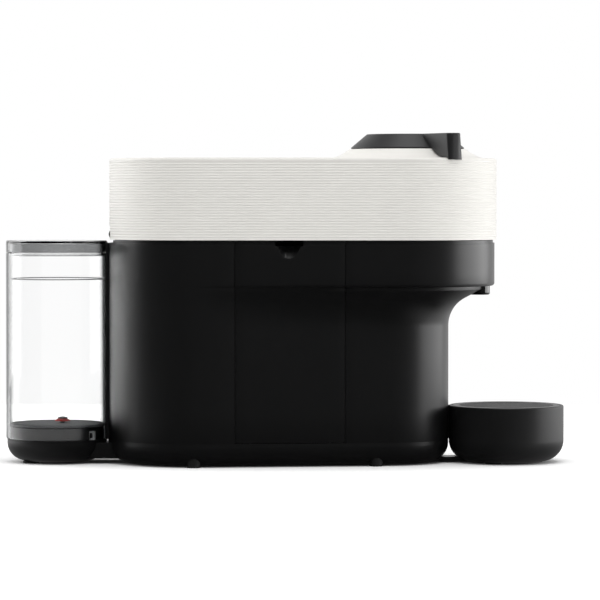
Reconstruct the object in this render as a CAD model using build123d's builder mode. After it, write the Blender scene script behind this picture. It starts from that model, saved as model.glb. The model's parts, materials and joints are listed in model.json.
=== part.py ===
from build123d import *
import os
from math import asin, cos, degrees, radians, sin, tan

os.makedirs("parts", exist_ok=True)

# Pod coffee machine, in millimetres. +X points to the cup end and +Z up.
# The origin is on the table, under the middle of the machine's box.

# Overall size
LENGTH = 426.0
WIDTH = 136.0
HEIGHT = 250.0

# Walls and fits
WALL = 2.5
PART_GAP = 0.4
SLIP_GAP = 0.3
CLOSE_GAP = 0.2
SHAFT_FIT = 0.05

# Plan: two round ends on the long axis, the front one shared by drum, clamp and lever
REAR_X = -66.0
BODY_REAR_X = -68.6
BREW_X = 93.5
HEAD_R = WIDTH / 2
HEAD_LAP = 1.6
BAND_R = HEAD_R - HEAD_LAP
NECK_R = 50.0
NECK_FRONT = 124.85
NECK_X = NECK_FRONT - NECK_R

# Heights of the body
PAN_BOTTOM = 1.2
PAN_TOP = 18.0
PAN_EDGE = 14.0
COVE_BOTTOM = 104.7
BAND_BOTTOM = 134.9
BAND_EDGE = 2.2
BODY_TOP = 167.5
RIM_TOP = 169.6
RIM_STEP = 1.2

# Cove under the overhang: an arc that runs out into a slope
COVE_R = 23.4
COVE_TURN = 62.0
COVE_STEPS = 4
COVE_REACH = 25.2
COVE_LIFT = 1.6
COVE_ARC_TOP = COVE_BOTTOM + COVE_R * sin(radians(COVE_TURN))
COVE_ARC_REACH = COVE_R * (1 - cos(radians(COVE_TURN)))
COVE_TOP = COVE_ARC_TOP + (COVE_REACH - COVE_ARC_REACH) / tan(radians(COVE_TURN))
WAIST_LEAN = asin((BAND_R - NECK_R) / (NECK_X - BODY_REAR_X))

# Head: ribbed sleeve, cover with a flared collar, and liner
HEAD_BOTTOM = 170.0
HEAD_TOP = 231.6
SLEEVE_TOP = 229.4
SLEEVE_WALL = 2.6
SLEEVE_LIP = 0.7
RIB_PITCH = 2.0
RIB_DEPTH = 0.3
RIB_COUNT = int((SLEEVE_TOP - HEAD_BOTTOM - 2 * SLEEVE_LIP) / RIB_PITCH)
COVER_EDGE = 2.1
COLLAR_TOP = 238.6
COLLAR_R = 44.8
COLLAR_FOOT = 60.0
COLLAR_SWEEP = 28.0
COLLAR_SKIN = 2.4
COVER_BORE = 28.0
COVER_POST_RING = 36.5
COVER_POST_R = 3.2
LINER_R = HEAD_R - SLEEVE_WALL - CLOSE_GAP
LINER_BOTTOM = HEAD_BOTTOM + CLOSE_GAP

# Hinge at the back of the head
HINGE_X = -130.0
HINGE_Z = 174.0
HINGE_BOSS = 4.0
HINGE_PIN_R = 2.0
HINGE_PIN_LENGTH = 19.4
HINGE_SLOT = 22.0
KNUCKLE_Y = 2.4
LUG_Y = 7.3
LUG_WIDTH = 4.4
LINER_NOTCH_X = -113.0

# Deck that closes the top of the body
DECK_BOTTOM = 162.5
DECK_TOP = 165.0
DECK_R = BAND_R - WALL - CLOSE_GAP
DECK_HOLE = 44.4
CHUTE_X = 5.0
CHUTE_LENGTH = 66.0
CHUTE_WIDTH = 60.0
CHUTE_CORNER = 12.0
SPLASH_R = 62.0
SPLASH_WALL = 1.6
SPLASH_TOP = 169.4
SPLASH_REAR = -108.0
LEDGE = 2.4

# Capsule drum, its shaft and motor, on the brew axis
DRUM_TOP = 163.0
DRUM_MOUTH = 30.5
DRUM_R = 33.0
DRUM_FLANGE = 36.0
DRUM_FLOOR = 133.0
DRUM_FLOOR_R = 21.0
DRUM_BOTTOM = 129.0
DRUM_NOTCHES = 20
SHAFT_R = 4.0
SHAFT_TOP = 131.0
SHAFT_BOTTOM = 62.0
BEARING_R = 11.0
BEARING_BOTTOM = 118.0
BEARING_HEIGHT = 7.0
MOTOR_R = 24.0
MOTOR_BOTTOM = 66.0
MOTOR_TOP = 112.0
FRAME_TOP = 115.0
POST_R = 4.0
POST_REAR_X = 58.0
POST_REAR_Y = 33.0
POST_FRONT_X = 86.0
POST_FRONT_Y = 28.0

# Coffee collector around the drum, and the spout
COLLECTOR_R = 44.0
COLLECTOR_WALL = 2.0
COLLECTOR_FLOOR = 135.0
COLLECTOR_TOP = 162.0
DAM_R = 35.0
DAM_TOP = 150.0
CUP_R = 27.0
CUP_FLOOR = 123.5
SPOUT_X = 148.5
SPOUT_R = 8.0
SPOUT_BORE = 3.0
SPOUT_BOTTOM = 127.8
SPOUT_TOP = 147.0
PORT_Z = 141.0
PORT_R = 5.0

# Clamp and injector, carried by the head
CLAMP_BOTTOM = 164.4
CLAMP_TOP = 169.2
CLAMP_R = 33.0
CLAMP_BORE = 10.5
CLAMP_NECK = 14.0
CLAMP_NECK_TOP = 183.4
TOOTH_COUNT = 18
TOOTH_RING = 28.0
TOOTH_R = 0.9
TOOTH_HEIGHT = 1.2
CLAMP_BEARING_R = 20.0
CLAMP_BEARING_BOTTOM = 174.0
CLAMP_BEARING_TOP = 182.0
LINER_BOSS_R = 23.0
LINER_BOSS_TOP = 184.0
INJECTOR_R = 10.0
INJECTOR_BOTTOM = 166.0
INJECTOR_TOP = 207.0
INJECTOR_FLANGE = 3.0
NEEDLE_R = 1.2
NEEDLE_TIP = 158.0
NEEDLE_TOP = 190.0
SEAL_HEIGHT = 1.4

# Lever with its thumb tab, and the start button in the middle
LEVER_BOTTOM = 239.0
LEVER_RIM = 44.0
LEVER_CROWN = 31.0
LEVER_BORE = 24.0
LEVER_HUB = COVER_BORE - SLIP_GAP
LEVER_HUB_BOTTOM = 226.0
LEVER_CLEAR = 0.5
TAB_TURN = -61.0
TAB_REACH = 69.8
TAB_WIDTH = 11.8
TAB_CORNER = 4.4
TAB_LIP_BOTTOM = 230.1
TAB_LIP = 0.7
RETAINER_R = 31.0
RETAINER_BOTTOM = 227.0
RETAINER_TOP = 228.8
BEZEL_R = LEVER_BORE - PART_GAP
BEZEL_WALL = 2.2
BEZEL_TOP = 248.6
BEZEL_PLATE = 2.4
BEZEL_FLANGE_R = 40.0
BEZEL_FLANGE_TOP = 222.0
LIGHT_R = 14.0
LIGHT_WIDTH = 2.0
LIGHT_DEPTH = 1.2
BUTTON_R = 9.0
BUTTON_TOP = 249.5
BUTTON_FLANGE = 1.5
BUTTON_STEM_R = 3.0
BUTTON_STEM_BOTTOM = 238.0
BOARD_Z = 231.0
BOARD_THICK = 1.6
SWITCH_SIDE = 6.0
SWITCH_TOP = 236.2

# Water tank, dock, lid and valve
TANK_X = -174.2
TANK_R = LENGTH / 2 + TANK_X
TANK_WALL = 2.2
TANK_BOTTOM = PAN_TOP + SLIP_GAP
TANK_FLOOR = 29.8
TANK_FLOOR_THICK = 1.6
TANK_TOP = 160.0
FILL_LINE = 140.0
FILL_BEAD = 0.5
LID_TOP = 169.4
LID_EDGE = 1.5
LID_WALL = 2.0
PLUG_BOTTOM = 157.5
DOCK_R = 38.0
DOCK_BOTTOM = 1.5
DOCK_EDGE = 14.0
DOCK_BOSS_R = 35.6
DOCK_BOSS_TOP = 27.8
GUIDE_X = -136.2
GUIDE_Y = 12.0
GUIDE_DEPTH = 3.6
GUIDE_WIDTH = 2.0
GUIDE_BOTTOM = 30.0
BRIDGE_WIDTH = 44.0
BRIDGE_BOTTOM = 4.0
BRIDGE_TOP = 16.0
WELL_R = 9.0
WELL_FLOOR = 13.0
CHANNEL_X = -164.5
CHANNEL_R = 2.1
VALVE_X = -170.0
VALVE_PORT = 4.0
SPIGOT_R = 7.2
SPIGOT_BOTTOM = 20.0
VALVE_R = 5.9
VALVE_LIFT = 1.4
VALVE_STEM = 1.8
VALVE_STEM_BOTTOM = 24.6
VALVE_CAP_R = 3.8
VALVE_STEP = 1.8
CLIP_TURN = -38.0
CLIP_WIDTH = 7.0
CLIP_HEIGHT = 7.0
CLIP_DEPTH = 2.0

# Capsule bin and the panel it pulls out with
PANEL_REAR = -36.8
PANEL_FRONT = 45.0
SCOOP_X = 3.5
SCOOP_R = 8.4
SCOOP_BOTTOM = 156.3
SCOOP_SLOT = 20.8
SCOOP_SLOT_HEIGHT = 2.0
POCKET_DEPTH = 11.0
BIN_REAR = -34.0
BIN_FRONT = 42.0
BIN_FAR = 42.0
BIN_BOTTOM = 20.0
BIN_TOP = 150.0
BIN_WALL = 2.0
BIN_CORNER = 6.0
RAIL_THICK = 3.0
RAIL_LENGTH = 76.0

# Cup stand
STAND_R = 43.9
STAND_X = LENGTH / 2 - STAND_R
STAND_BOTTOM = 1.0
STAND_TOP = 43.5
STAND_EDGE = 16.0
STAND_FLOOR = 9.0
STAND_RIM = 2.4
GRID_LEDGE = 2.0
GRID_THICK = 2.0
GRID_SLOTS = 9
GRID_PITCH = 8.0
GRID_SLOT_WIDTH = 4.2
GRID_MARGIN = 5.0
TONGUE_WIDTH = 19.0
TONGUE_END = 150.0
TONGUE_TOP = 4.4
STAND_RIB = 0.8
STAND_RIB_WIDTH = 6.0

# Feet
FOOT_R = 5.0
FOOT_INSET = 8.0
FOOT_REAR = -67.9
FOOT_FRONT = 68.8
PAD_R = 6.0

# Pump, heater, flow meter, board and hoses in the rear of the body
BULKHEAD_X = -66.0
BULKHEAD_THICK = 3.0
BULKHEAD_TOP = 150.0
BULKHEAD_NEAR = -44.0
BULKHEAD_FAR = 49.0
PUMP_X = -91.5
PUMP_Y = -20.0
PUMP_R = 20.0
PUMP_BOTTOM = 26.0
PUMP_TOP = 122.0
PUMP_COIL_BOTTOM = 40.0
PUMP_COIL_TOP = 106.0
NIPPLE_R = 4.0
MOUNT_WALL = 3.0
MOUNT_HEIGHT = 7.0
HEATER_THICK = 18.0
HEATER_WIDTH = 76.0
HEATER_BOTTOM = 66.0
HEATER_TOP = 142.0
METER_X = -82.0
METER_Y = 26.0
METER_R = 12.0
METER_BOTTOM = 40.0
METER_TOP = 56.0
BOARD_REAR = -95.0
BOARD_FRONT = -45.0
BOARD_BOTTOM = 45.0
BOARD_TOP = 145.0
HOSE_R = 3.0
HOSE_BEND = 6.0
HOSE_LOW = 10.0
HOSE_HIGH = 155.0
BREW_HOSE_Y = 23.8
HEAD_HOSE_Z = 200.0
GLAND_TURN = 125.0
GLAND_Z = 34.0
GLAND_R = 6.0
GLAND_BORE = 3.6
SCREW_R = 1.4
SCREW_HEAD_R = 2.8
SCREW_LENGTH = 11.0

from_below = (Align.CENTER, Align.CENTER, Align.MIN)


def waist_face(rear_x, rear_radius, front_x, front_radius):
    """Draw a plan face with two round ends joined by their common tangents."""
    lean = degrees(asin((rear_radius - front_radius) / (front_x - rear_x)))
    with BuildLine() as outline:
        nose = CenterArc((front_x, 0), front_radius, lean - 90, 180 - 2 * lean)
        tail = CenterArc((rear_x, 0), rear_radius, 90 - lean, 180 + 2 * lean)
        Line(nose @ 1, tail @ 0)
        Line(tail @ 1, nose @ 0)
    make_face(outline.edges())


def flared_face(reach, inset):
    """Draw the body's plan at a level where its front has come forward by reach."""
    share = reach / (BREW_X + BAND_R - NECK_FRONT)
    nose_radius = NECK_R + share * (BAND_R - NECK_R)
    nose_x = NECK_X + share * (BREW_X - NECK_X)
    waist_face(BODY_REAR_X, BAND_R - inset, nose_x, nose_radius - inset)


def level_face(height, reach, inset):
    """Return the body's plan face at a height and reach."""
    with BuildSketch(Plane.XY.offset(height)) as level:
        flared_face(reach, inset)
    return level.sketch.face()


def waist_form(inset, lift):
    """Build the body below its band: a straight waist that flares under the overhang."""
    extrude(level_face(PAN_TOP - lift, 0, inset), amount=COVE_BOTTOM - PAN_TOP + 2 * lift)
    levels = []
    for step in range(COVE_STEPS + 1):
        turn = radians(COVE_TURN * step / COVE_STEPS)
        height = COVE_BOTTOM + COVE_R * sin(turn) + lift
        levels.append(level_face(height, COVE_R * (1 - cos(turn)), inset))
    loft(levels)
    slope_top = level_face(COVE_TOP + lift, COVE_REACH, inset)
    loft([levels[-1], slope_top], ruled=True)
    extrude(slope_top, amount=BAND_BOTTOM + inset - COVE_TOP - lift)


def panel_half_width(x, inset):
    """Return the distance from the long axis to the waist's straight side at x."""
    return (BAND_R - inset - (x - BODY_REAR_X) * sin(WAIST_LEAN)) / cos(WAIST_LEAN)


def turned(axis_x, axis_y, points):
    """Turn a closed outline of radius and height pairs about an upright axis."""
    section = Plane(origin=(axis_x, axis_y, 0), x_dir=(1, 0, 0), z_dir=(0, -1, 0))
    with BuildSketch(section) as profile:
        with BuildLine():
            Polyline(*points, close=True)
        make_face()
    revolve(profile.sketch, axis=Axis((axis_x, axis_y, 0), (0, 0, 1)))


def turned_ring(axis_x, inner, outer, bottom, top):
    """Turn a plain ring about an upright axis on the long axis."""
    turned(axis_x, 0, [(inner, bottom), (outer, bottom), (outer, top), (inner, top)])


def hose(points, bend):
    """Sweep a round hose along straight runs joined by bends."""
    with BuildLine() as route:
        FilletPolyline(*points, radius=bend)
    with BuildSketch(Plane(origin=route.line @ 0, z_dir=route.line % 0)) as bore:
        Circle(HOSE_R)
    sweep(bore.sketch, path=route.line)


# Body: one moulded wall, cut into the fixed shell and the panel of the capsule bin
with BuildPart() as body_core:
    waist_form(WALL, COVE_LIFT)
    with BuildSketch(Plane.XY.offset(BAND_BOTTOM + WALL)):
        waist_face(BODY_REAR_X, BAND_R - WALL, BREW_X, BAND_R - WALL)
    extrude(amount=RIM_TOP - BAND_BOTTOM)

with BuildPart() as housing:
    waist_form(0, 0)
    for step in range(COVE_STEPS + 1):
        turn = radians(90 * step / COVE_STEPS)
        with BuildSketch(Plane.XY.offset(BAND_BOTTOM + BAND_EDGE * (1 - cos(turn)))):
            waist_face(BODY_REAR_X, BAND_R, BREW_X, BAND_R - BAND_EDGE * (1 - sin(turn)))
    loft()
    with BuildSketch(Plane.XY.offset(BAND_BOTTOM + BAND_EDGE)):
        waist_face(BODY_REAR_X, BAND_R, BREW_X, BAND_R)
    extrude(amount=BODY_TOP - BAND_BOTTOM - BAND_EDGE)
    # Stepped rim that darkens the gap under the head, open at the hinge
    with BuildSketch(Plane.XY.offset(BODY_TOP)):
        waist_face(BODY_REAR_X, BAND_R - RIM_STEP, BREW_X, BAND_R - RIM_STEP)
        with Locations((SPLASH_REAR, 0)):
            Rectangle(WIDTH, WIDTH, align=(Align.MAX, Align.CENTER), mode=Mode.SUBTRACT)
    extrude(amount=RIM_TOP - BODY_TOP)
    add(body_core.part, mode=Mode.SUBTRACT)

gland_dir = Vector(1, 0, 0).rotate(Axis.Z, GLAND_TURN)
gland_point = Vector(BODY_REAR_X, 0, GLAND_Z) + gland_dir * BAND_R
gland_plane = Plane(origin=gland_point, z_dir=gland_dir)
panel_length = PANEL_FRONT - PANEL_REAR
panel_mid = (PANEL_FRONT + PANEL_REAR) / 2
body_height = RIM_TOP - PAN_TOP
pocket_top = BODY_TOP - SCOOP_SLOT_HEIGHT
pocket_bottom = SCOOP_BOTTOM - 2 * WALL
pocket_back = -BAND_R + WALL / 2 + POCKET_DEPTH
pocket_width = 2 * (SCOOP_R + WALL)

with BuildPart() as body_shell:
    add(housing.part)
    # Ledge that the deck rests on
    with BuildSketch(Plane.XY.offset(DECK_BOTTOM - LEDGE)):
        waist_face(BODY_REAR_X, BAND_R - WALL, BREW_X, BAND_R - WALL)
        offset(amount=-LEDGE, mode=Mode.SUBTRACT)
    extrude(amount=LEDGE)
    # Guides beside the tank, broken at the band's edge, and the rib that locates the cup stand
    for guide_y in (GUIDE_Y, -GUIDE_Y):
        with Locations((GUIDE_X, guide_y, GUIDE_BOTTOM)):
            Box(
                GUIDE_DEPTH,
                GUIDE_WIDTH,
                BAND_BOTTOM - BAND_EDGE - GUIDE_BOTTOM,
                align=(Align.MIN, Align.CENTER, Align.MIN),
            )
        with Locations((GUIDE_X, guide_y, BODY_TOP)):
            Box(
                GUIDE_DEPTH,
                GUIDE_WIDTH,
                BODY_TOP - BAND_BOTTOM - 2 * BAND_EDGE,
                align=(Align.MIN, Align.CENTER, Align.MAX),
            )
    with Locations((NECK_FRONT + STAND_RIB, 0, PAN_TOP)):
        Box(
            WALL,
            STAND_RIB_WIDTH,
            STAND_TOP - PAN_TOP,
            align=(Align.MAX, Align.CENTER, Align.MIN),
        )
    # Opening for the panel, hole for the spout and hole for the cord gland
    with Locations((panel_mid, -BAND_R, PAN_TOP + body_height / 2)):
        Box(panel_length + 2 * PART_GAP, WIDTH / 2, body_height, mode=Mode.SUBTRACT)
    with Locations((SPOUT_X, 0, BAND_BOTTOM)):
        Cylinder(SPOUT_R + PART_GAP / 4, 2 * BAND_EDGE * COVE_STEPS, mode=Mode.SUBTRACT)
    with Locations(gland_plane):
        Cylinder(GLAND_R, 4 * WALL, mode=Mode.SUBTRACT)
body_shell.part.label = "body_shell"
export_step(body_shell.part, "parts/body_shell.step")

with BuildPart() as bin_panel:
    add(housing.part)
    with Locations((panel_mid, -BAND_R, PAN_TOP + PART_GAP + body_height / 2)):
        Box(panel_length, WIDTH / 2, body_height, mode=Mode.INTERSECT)
    # Pocket behind the finger scoop
    with Locations((SCOOP_X, pocket_back, pocket_bottom)):
        Box(
            pocket_width,
            POCKET_DEPTH,
            pocket_top - pocket_bottom,
            align=(Align.CENTER, Align.MAX, Align.MIN),
        )
    scoop_plane = Plane(
        origin=(SCOOP_X, -BAND_R, SCOOP_BOTTOM + SCOOP_R / sin(radians(45))),
        z_dir=(0, -1, -1),
    )
    with Locations(scoop_plane):
        Cylinder(SCOOP_R, 2 * POCKET_DEPTH, mode=Mode.SUBTRACT)
    with Locations((SCOOP_X, -BAND_R, pocket_top)):
        Box(SCOOP_SLOT, 4 * WALL, 4 * SCOOP_SLOT_HEIGHT, align=from_below, mode=Mode.SUBTRACT)
bin_panel.part.label = "bin_panel"
export_step(bin_panel.part, "parts/bin_panel.step")

with BuildPart() as capsule_bin:
    with BuildSketch(Plane.XY.offset(BIN_BOTTOM)):
        with BuildLine():
            Polyline(
                (BIN_REAR, -panel_half_width(BIN_REAR, WALL)),
                (BIN_FRONT, -panel_half_width(BIN_FRONT, WALL)),
                (BIN_FRONT, BIN_FAR),
                (BIN_REAR, BIN_FAR),
                close=True,
            )
        make_face()
    extrude(amount=BIN_TOP - BIN_BOTTOM)
    fillet(capsule_bin.edges().filter_by(Axis.Z).group_by(Axis.Y)[-1], BIN_CORNER)
    offset(amount=-BIN_WALL, openings=capsule_bin.faces().sort_by(Axis.Z)[-1])
capsule_bin.part.label = "capsule_bin"
export_step(capsule_bin.part, "parts/capsule_bin.step")

# Base pan with the bin's rails and the tongue that the cup stand slides over
with BuildPart() as pan_core:
    with BuildSketch(Plane.XY.offset(PAN_BOTTOM + WALL)):
        flared_face(0, WALL)
    extrude(amount=PAN_TOP - PAN_BOTTOM)
    fillet(pan_core.faces().sort_by(Axis.Z)[0].edges(), PAN_EDGE - WALL)

with BuildPart() as pan_form:
    with BuildSketch(Plane.XY.offset(PAN_BOTTOM)):
        flared_face(0, 0)
    extrude(amount=PAN_TOP - PAN_BOTTOM)
    fillet(pan_form.faces().sort_by(Axis.Z)[0].edges(), PAN_EDGE)

post_places = []
for side in (-1, 1):
    post_places.append((POST_REAR_X, side * POST_REAR_Y))
    post_places.append((POST_FRONT_X, side * POST_FRONT_Y))
pan_floor = PAN_BOTTOM + WALL
rail_top = BIN_BOTTOM - PART_GAP
with BuildPart() as base_pan:
    add(pan_form.part)
    add(pan_core.part, mode=Mode.SUBTRACT)
    for rail_x in (BIN_REAR + 2 * RAIL_THICK, BIN_FRONT - 2 * RAIL_THICK):
        with Locations((rail_x, 0, (PAN_BOTTOM + rail_top) / 2)):
            Box(RAIL_THICK, RAIL_LENGTH, rail_top - PAN_BOTTOM)
    with Locations(((NECK_X + TONGUE_END) / 2, 0, (PAN_BOTTOM + TONGUE_TOP) / 2)):
        Box(TONGUE_END - NECK_X, TONGUE_WIDTH, TONGUE_TOP - PAN_BOTTOM)
    with Locations(*[(x, y, PAN_BOTTOM) for x, y in post_places]):
        Cylinder(SCREW_HEAD_R + PART_GAP, WALL, mode=Mode.SUBTRACT)
        Cylinder(SCREW_R + PART_GAP, 4 * WALL, mode=Mode.SUBTRACT)
    with Locations(Plane(origin=(BODY_REAR_X - BAND_R, 0, HOSE_LOW), z_dir=(1, 0, 0))):
        Cylinder(HOSE_R, 8 * WALL, mode=Mode.SUBTRACT)
base_pan.part.label = "base_pan"
export_step(base_pan.part, "parts/base_pan.step")

foot_places = []
for foot_x in (FOOT_REAR, FOOT_FRONT):
    for side in (-1, 1):
        foot_places.append((foot_x, side * (panel_half_width(foot_x, 0) - FOOT_INSET), 0))
dock_pad_places = [(TANK_X - DOCK_R / 2, side * DOCK_R / 3, 0) for side in (-1, 1)]

with BuildPart() as rubber_feet:
    with Locations(*foot_places):
        Cylinder(FOOT_R, PAN_EDGE, align=from_below)
    add(pan_form.part, mode=Mode.SUBTRACT)
    with Locations(*dock_pad_places):
        Cylinder(PAD_R, DOCK_BOTTOM, align=from_below)
rubber_feet.part.label = "rubber_feet"
export_step(rubber_feet.part, "parts/rubber_feet.step")

# Tank dock, joined to the pan by a bridge with the water channel in it
pin_top = VALVE_STEM_BOTTOM - PART_GAP
with BuildPart() as dock_well:
    # The well leaves the pin that holds the tank's valve open
    turned(
        VALVE_X,
        0,
        [
            (0, DOCK_BOSS_TOP),
            (0, pin_top),
            (VALVE_STEM, pin_top),
            (VALVE_STEM, WELL_FLOOR),
            (WELL_R, WELL_FLOOR),
            (WELL_R, DOCK_BOSS_TOP),
        ],
    )

with BuildPart() as tank_dock:
    turned_ring(TANK_X, 0, DOCK_R, DOCK_BOTTOM, PAN_TOP)
    fillet(tank_dock.faces().sort_by(Axis.Z)[0].edges(), DOCK_EDGE)
    turned_ring(TANK_X, 0, DOCK_BOSS_R, PAN_TOP, DOCK_BOSS_TOP)
    chamfer(tank_dock.faces().sort_by(Axis.Z)[-1].edges(), PART_GAP)
    bridge_end = BODY_REAR_X - BAND_R + BRIDGE_WIDTH / 4
    with Locations(((TANK_X + bridge_end) / 2, 0, (BRIDGE_BOTTOM + BRIDGE_TOP) / 2)):
        Box(bridge_end - TANK_X, BRIDGE_WIDTH, BRIDGE_TOP - BRIDGE_BOTTOM)
    add(pan_form.part, mode=Mode.SUBTRACT)
    add(dock_well.part, mode=Mode.SUBTRACT)
    with Locations((CHANNEL_X, 0, HOSE_LOW)):
        Cylinder(HOSE_R, -CHANNEL_X, rotation=(0, 90, 0), align=from_below, mode=Mode.SUBTRACT)
        Cylinder(CHANNEL_R, WELL_R, align=from_below, mode=Mode.SUBTRACT)
    clip_plane = Plane(origin=(TANK_X, 0, 0)).rotated((0, 0, CLIP_TURN))
    clip_mid = PAN_TOP + CLIP_HEIGHT / 2
    with Locations(clip_plane.offset(clip_mid)):
        with Locations((DOCK_BOSS_R, 0)):
            Box(2 * CLIP_DEPTH, CLIP_WIDTH, CLIP_HEIGHT, mode=Mode.SUBTRACT)
tank_dock.part.label = "tank_dock"
export_step(tank_dock.part, "parts/tank_dock.step")

with BuildPart() as dock_clip:
    with Locations(clip_plane.offset(clip_mid)):
        with Locations((DOCK_BOSS_R - CLIP_DEPTH / 2, 0)):
            Box(CLIP_DEPTH, CLIP_WIDTH, CLIP_HEIGHT)
    fillet(dock_clip.edges().filter_by(Axis.Z), PART_GAP)
dock_clip.part.label = "dock_clip"
export_step(dock_clip.part, "parts/dock_clip.step")

with BuildPart() as dock_seal:
    turned_ring(VALVE_X, SPIGOT_R + CLOSE_GAP, WELL_R, SPIGOT_BOTTOM + WALL, DOCK_BOSS_TOP - WALL / 2)
dock_seal.part.label = "dock_seal"
export_step(dock_seal.part, "parts/dock_seal.step")

# Water tank, with a moulded fill line inside its wall, its lid and its valve
tank_inner = TANK_R - TANK_WALL
tank_floor_bottom = TANK_FLOOR - TANK_FLOOR_THICK
with BuildPart() as water_tank:
    turned(
        TANK_X,
        0,
        [
            (tank_inner, TANK_BOTTOM),
            (TANK_R, TANK_BOTTOM),
            (TANK_R, TANK_TOP),
            (tank_inner, TANK_TOP),
            (tank_inner, FILL_LINE + FILL_BEAD),
            (tank_inner - FILL_BEAD, FILL_LINE),
            (tank_inner, FILL_LINE - FILL_BEAD),
            (tank_inner, TANK_FLOOR + FILL_BEAD),
            (tank_inner - FILL_BEAD, TANK_FLOOR),
            (0, TANK_FLOOR),
            (0, tank_floor_bottom),
            (tank_inner, tank_floor_bottom),
        ],
    )
    turned_ring(VALVE_X, 0, SPIGOT_R, SPIGOT_BOTTOM, tank_floor_bottom)
    with Locations((VALVE_X, 0, SPIGOT_BOTTOM)):
        Cylinder(VALVE_PORT, TANK_FLOOR, mode=Mode.SUBTRACT)
water_tank.part.label = "water_tank"
export_step(water_tank.part, "parts/water_tank.step")

lid_bottom = TANK_TOP + SLIP_GAP
plug_r = tank_inner - PART_GAP
with BuildPart() as tank_lid:
    turned(
        TANK_X,
        0,
        [
            (0, LID_TOP),
            (TANK_R - LID_EDGE, LID_TOP),
            (TANK_R, LID_TOP - LID_EDGE),
            (TANK_R, lid_bottom),
            (plug_r, lid_bottom),
            (plug_r, PLUG_BOTTOM),
            (plug_r - LID_WALL, PLUG_BOTTOM),
            (plug_r - LID_WALL, LID_TOP - LID_WALL),
            (0, LID_TOP - LID_WALL),
        ],
    )
tank_lid.part.label = "tank_lid"
export_step(tank_lid.part, "parts/tank_lid.step")

valve_bottom = TANK_FLOOR + VALVE_LIFT
with BuildPart() as valve_seal:
    turned(
        VALVE_X,
        0,
        [
            (VALVE_STEM, valve_bottom),
            (VALVE_R, valve_bottom),
            (VALVE_R, valve_bottom + VALVE_STEP / 3),
            (VALVE_CAP_R, valve_bottom + VALVE_STEP),
            (VALVE_STEM, valve_bottom + VALVE_STEP),
        ],
    )
valve_seal.part.label = "valve_seal"
export_step(valve_seal.part, "parts/valve_seal.step")

with BuildPart() as valve_poppet:
    turned(
        VALVE_X,
        0,
        [
            (0, VALVE_STEM_BOTTOM),
            (VALVE_STEM, VALVE_STEM_BOTTOM),
            (VALVE_STEM, valve_bottom + VALVE_STEP),
            (VALVE_CAP_R, valve_bottom + VALVE_STEP),
            (VALVE_CAP_R, valve_bottom + 1.6 * VALVE_STEP),
            (VALVE_CAP_R / 2, valve_bottom + 2 * VALVE_STEP),
            (0, valve_bottom + 2 * VALVE_STEP),
        ],
    )
valve_poppet.part.label = "valve_poppet"
export_step(valve_poppet.part, "parts/valve_poppet.step")

# Deck with its splash rim, chute and hinge lugs
with BuildPart() as deck_plate:
    with BuildSketch(Plane.XY.offset(DECK_BOTTOM)):
        waist_face(BODY_REAR_X, DECK_R, BREW_X, DECK_R)
    extrude(amount=DECK_TOP - DECK_BOTTOM)
    with BuildSketch(Plane.XY.offset(DECK_TOP)):
        waist_face(BODY_REAR_X, SPLASH_R, BREW_X, SPLASH_R)
        offset(amount=-SPLASH_WALL, mode=Mode.SUBTRACT)
    extrude(amount=SPLASH_TOP - DECK_TOP)
    with Locations((SPLASH_REAR, 0, DECK_TOP)):
        Box(WIDTH, WIDTH, WIDTH, align=(Align.MAX, Align.CENTER, Align.MIN), mode=Mode.SUBTRACT)
    with BuildSketch(Plane.XY.offset(DECK_BOTTOM)):
        with Locations((BREW_X, 0)):
            Circle(DECK_HOLE)
        with Locations((CHUTE_X, 0)):
            RectangleRounded(CHUTE_LENGTH, CHUTE_WIDTH, CHUTE_CORNER)
        with Locations((LINER_NOTCH_X, BREW_HOSE_Y)):
            Circle(HOSE_R)
    extrude(amount=DECK_TOP - DECK_BOTTOM, mode=Mode.SUBTRACT)
    with Locations((SCOOP_X, pocket_back + PART_GAP, DECK_BOTTOM)):
        Box(
            pocket_width + 2 * PART_GAP,
            WIDTH,
            WIDTH,
            align=(Align.CENTER, Align.MAX, Align.MIN),
            mode=Mode.SUBTRACT,
        )
    for side in (-1, 1):
        with BuildSketch(Plane.XZ.offset(side * LUG_Y)):
            with BuildLine():
                Polyline(
                    (HINGE_X - HINGE_BOSS / 4, HINGE_Z + HINGE_BOSS),
                    (HINGE_X + HINGE_BOSS, HINGE_Z + HINGE_BOSS),
                    (HINGE_X + 4 * HINGE_BOSS, DECK_TOP),
                    (HINGE_X + 2 * HINGE_BOSS, DECK_TOP),
                    (HINGE_X, HINGE_Z - HINGE_BOSS),
                    close=True,
                )
            make_face()
            with Locations((HINGE_X, HINGE_Z)):
                Circle(HINGE_BOSS)
                Circle(HINGE_PIN_R, mode=Mode.SUBTRACT)
        extrude(amount=LUG_WIDTH / 2, both=True)
deck_plate.part.label = "deck_plate"
export_step(deck_plate.part, "parts/deck_plate.step")

with BuildPart() as hinge_pin:
    with Locations((HINGE_X, 0, HINGE_Z)):
        Cylinder(HINGE_PIN_R, HINGE_PIN_LENGTH, rotation=(90, 0, 0))
hinge_pin.part.label = "hinge_pin"
export_step(hinge_pin.part, "parts/hinge_pin.step")

# Motor, its frame, and the drum on its shaft
with BuildPart() as motor_frame:
    with BuildSketch(Plane.XY.offset(MOTOR_TOP)):
        with Locations(*post_places):
            Circle(POST_R + WALL / 2)
        make_hull()
        with Locations((BREW_X, 0)):
            Circle(MOTOR_R + WALL / 2)
            Circle(CUP_R / 3, mode=Mode.SUBTRACT)
    extrude(amount=FRAME_TOP - MOTOR_TOP)
    with Locations(*[(x, y, pan_floor) for x, y in post_places]):
        Cylinder(POST_R, MOTOR_TOP - pan_floor, align=from_below)
        Cylinder(SCREW_R, SCREW_LENGTH, align=from_below, mode=Mode.SUBTRACT)
motor_frame.part.label = "motor_frame"
export_step(motor_frame.part, "parts/motor_frame.step")

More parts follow.
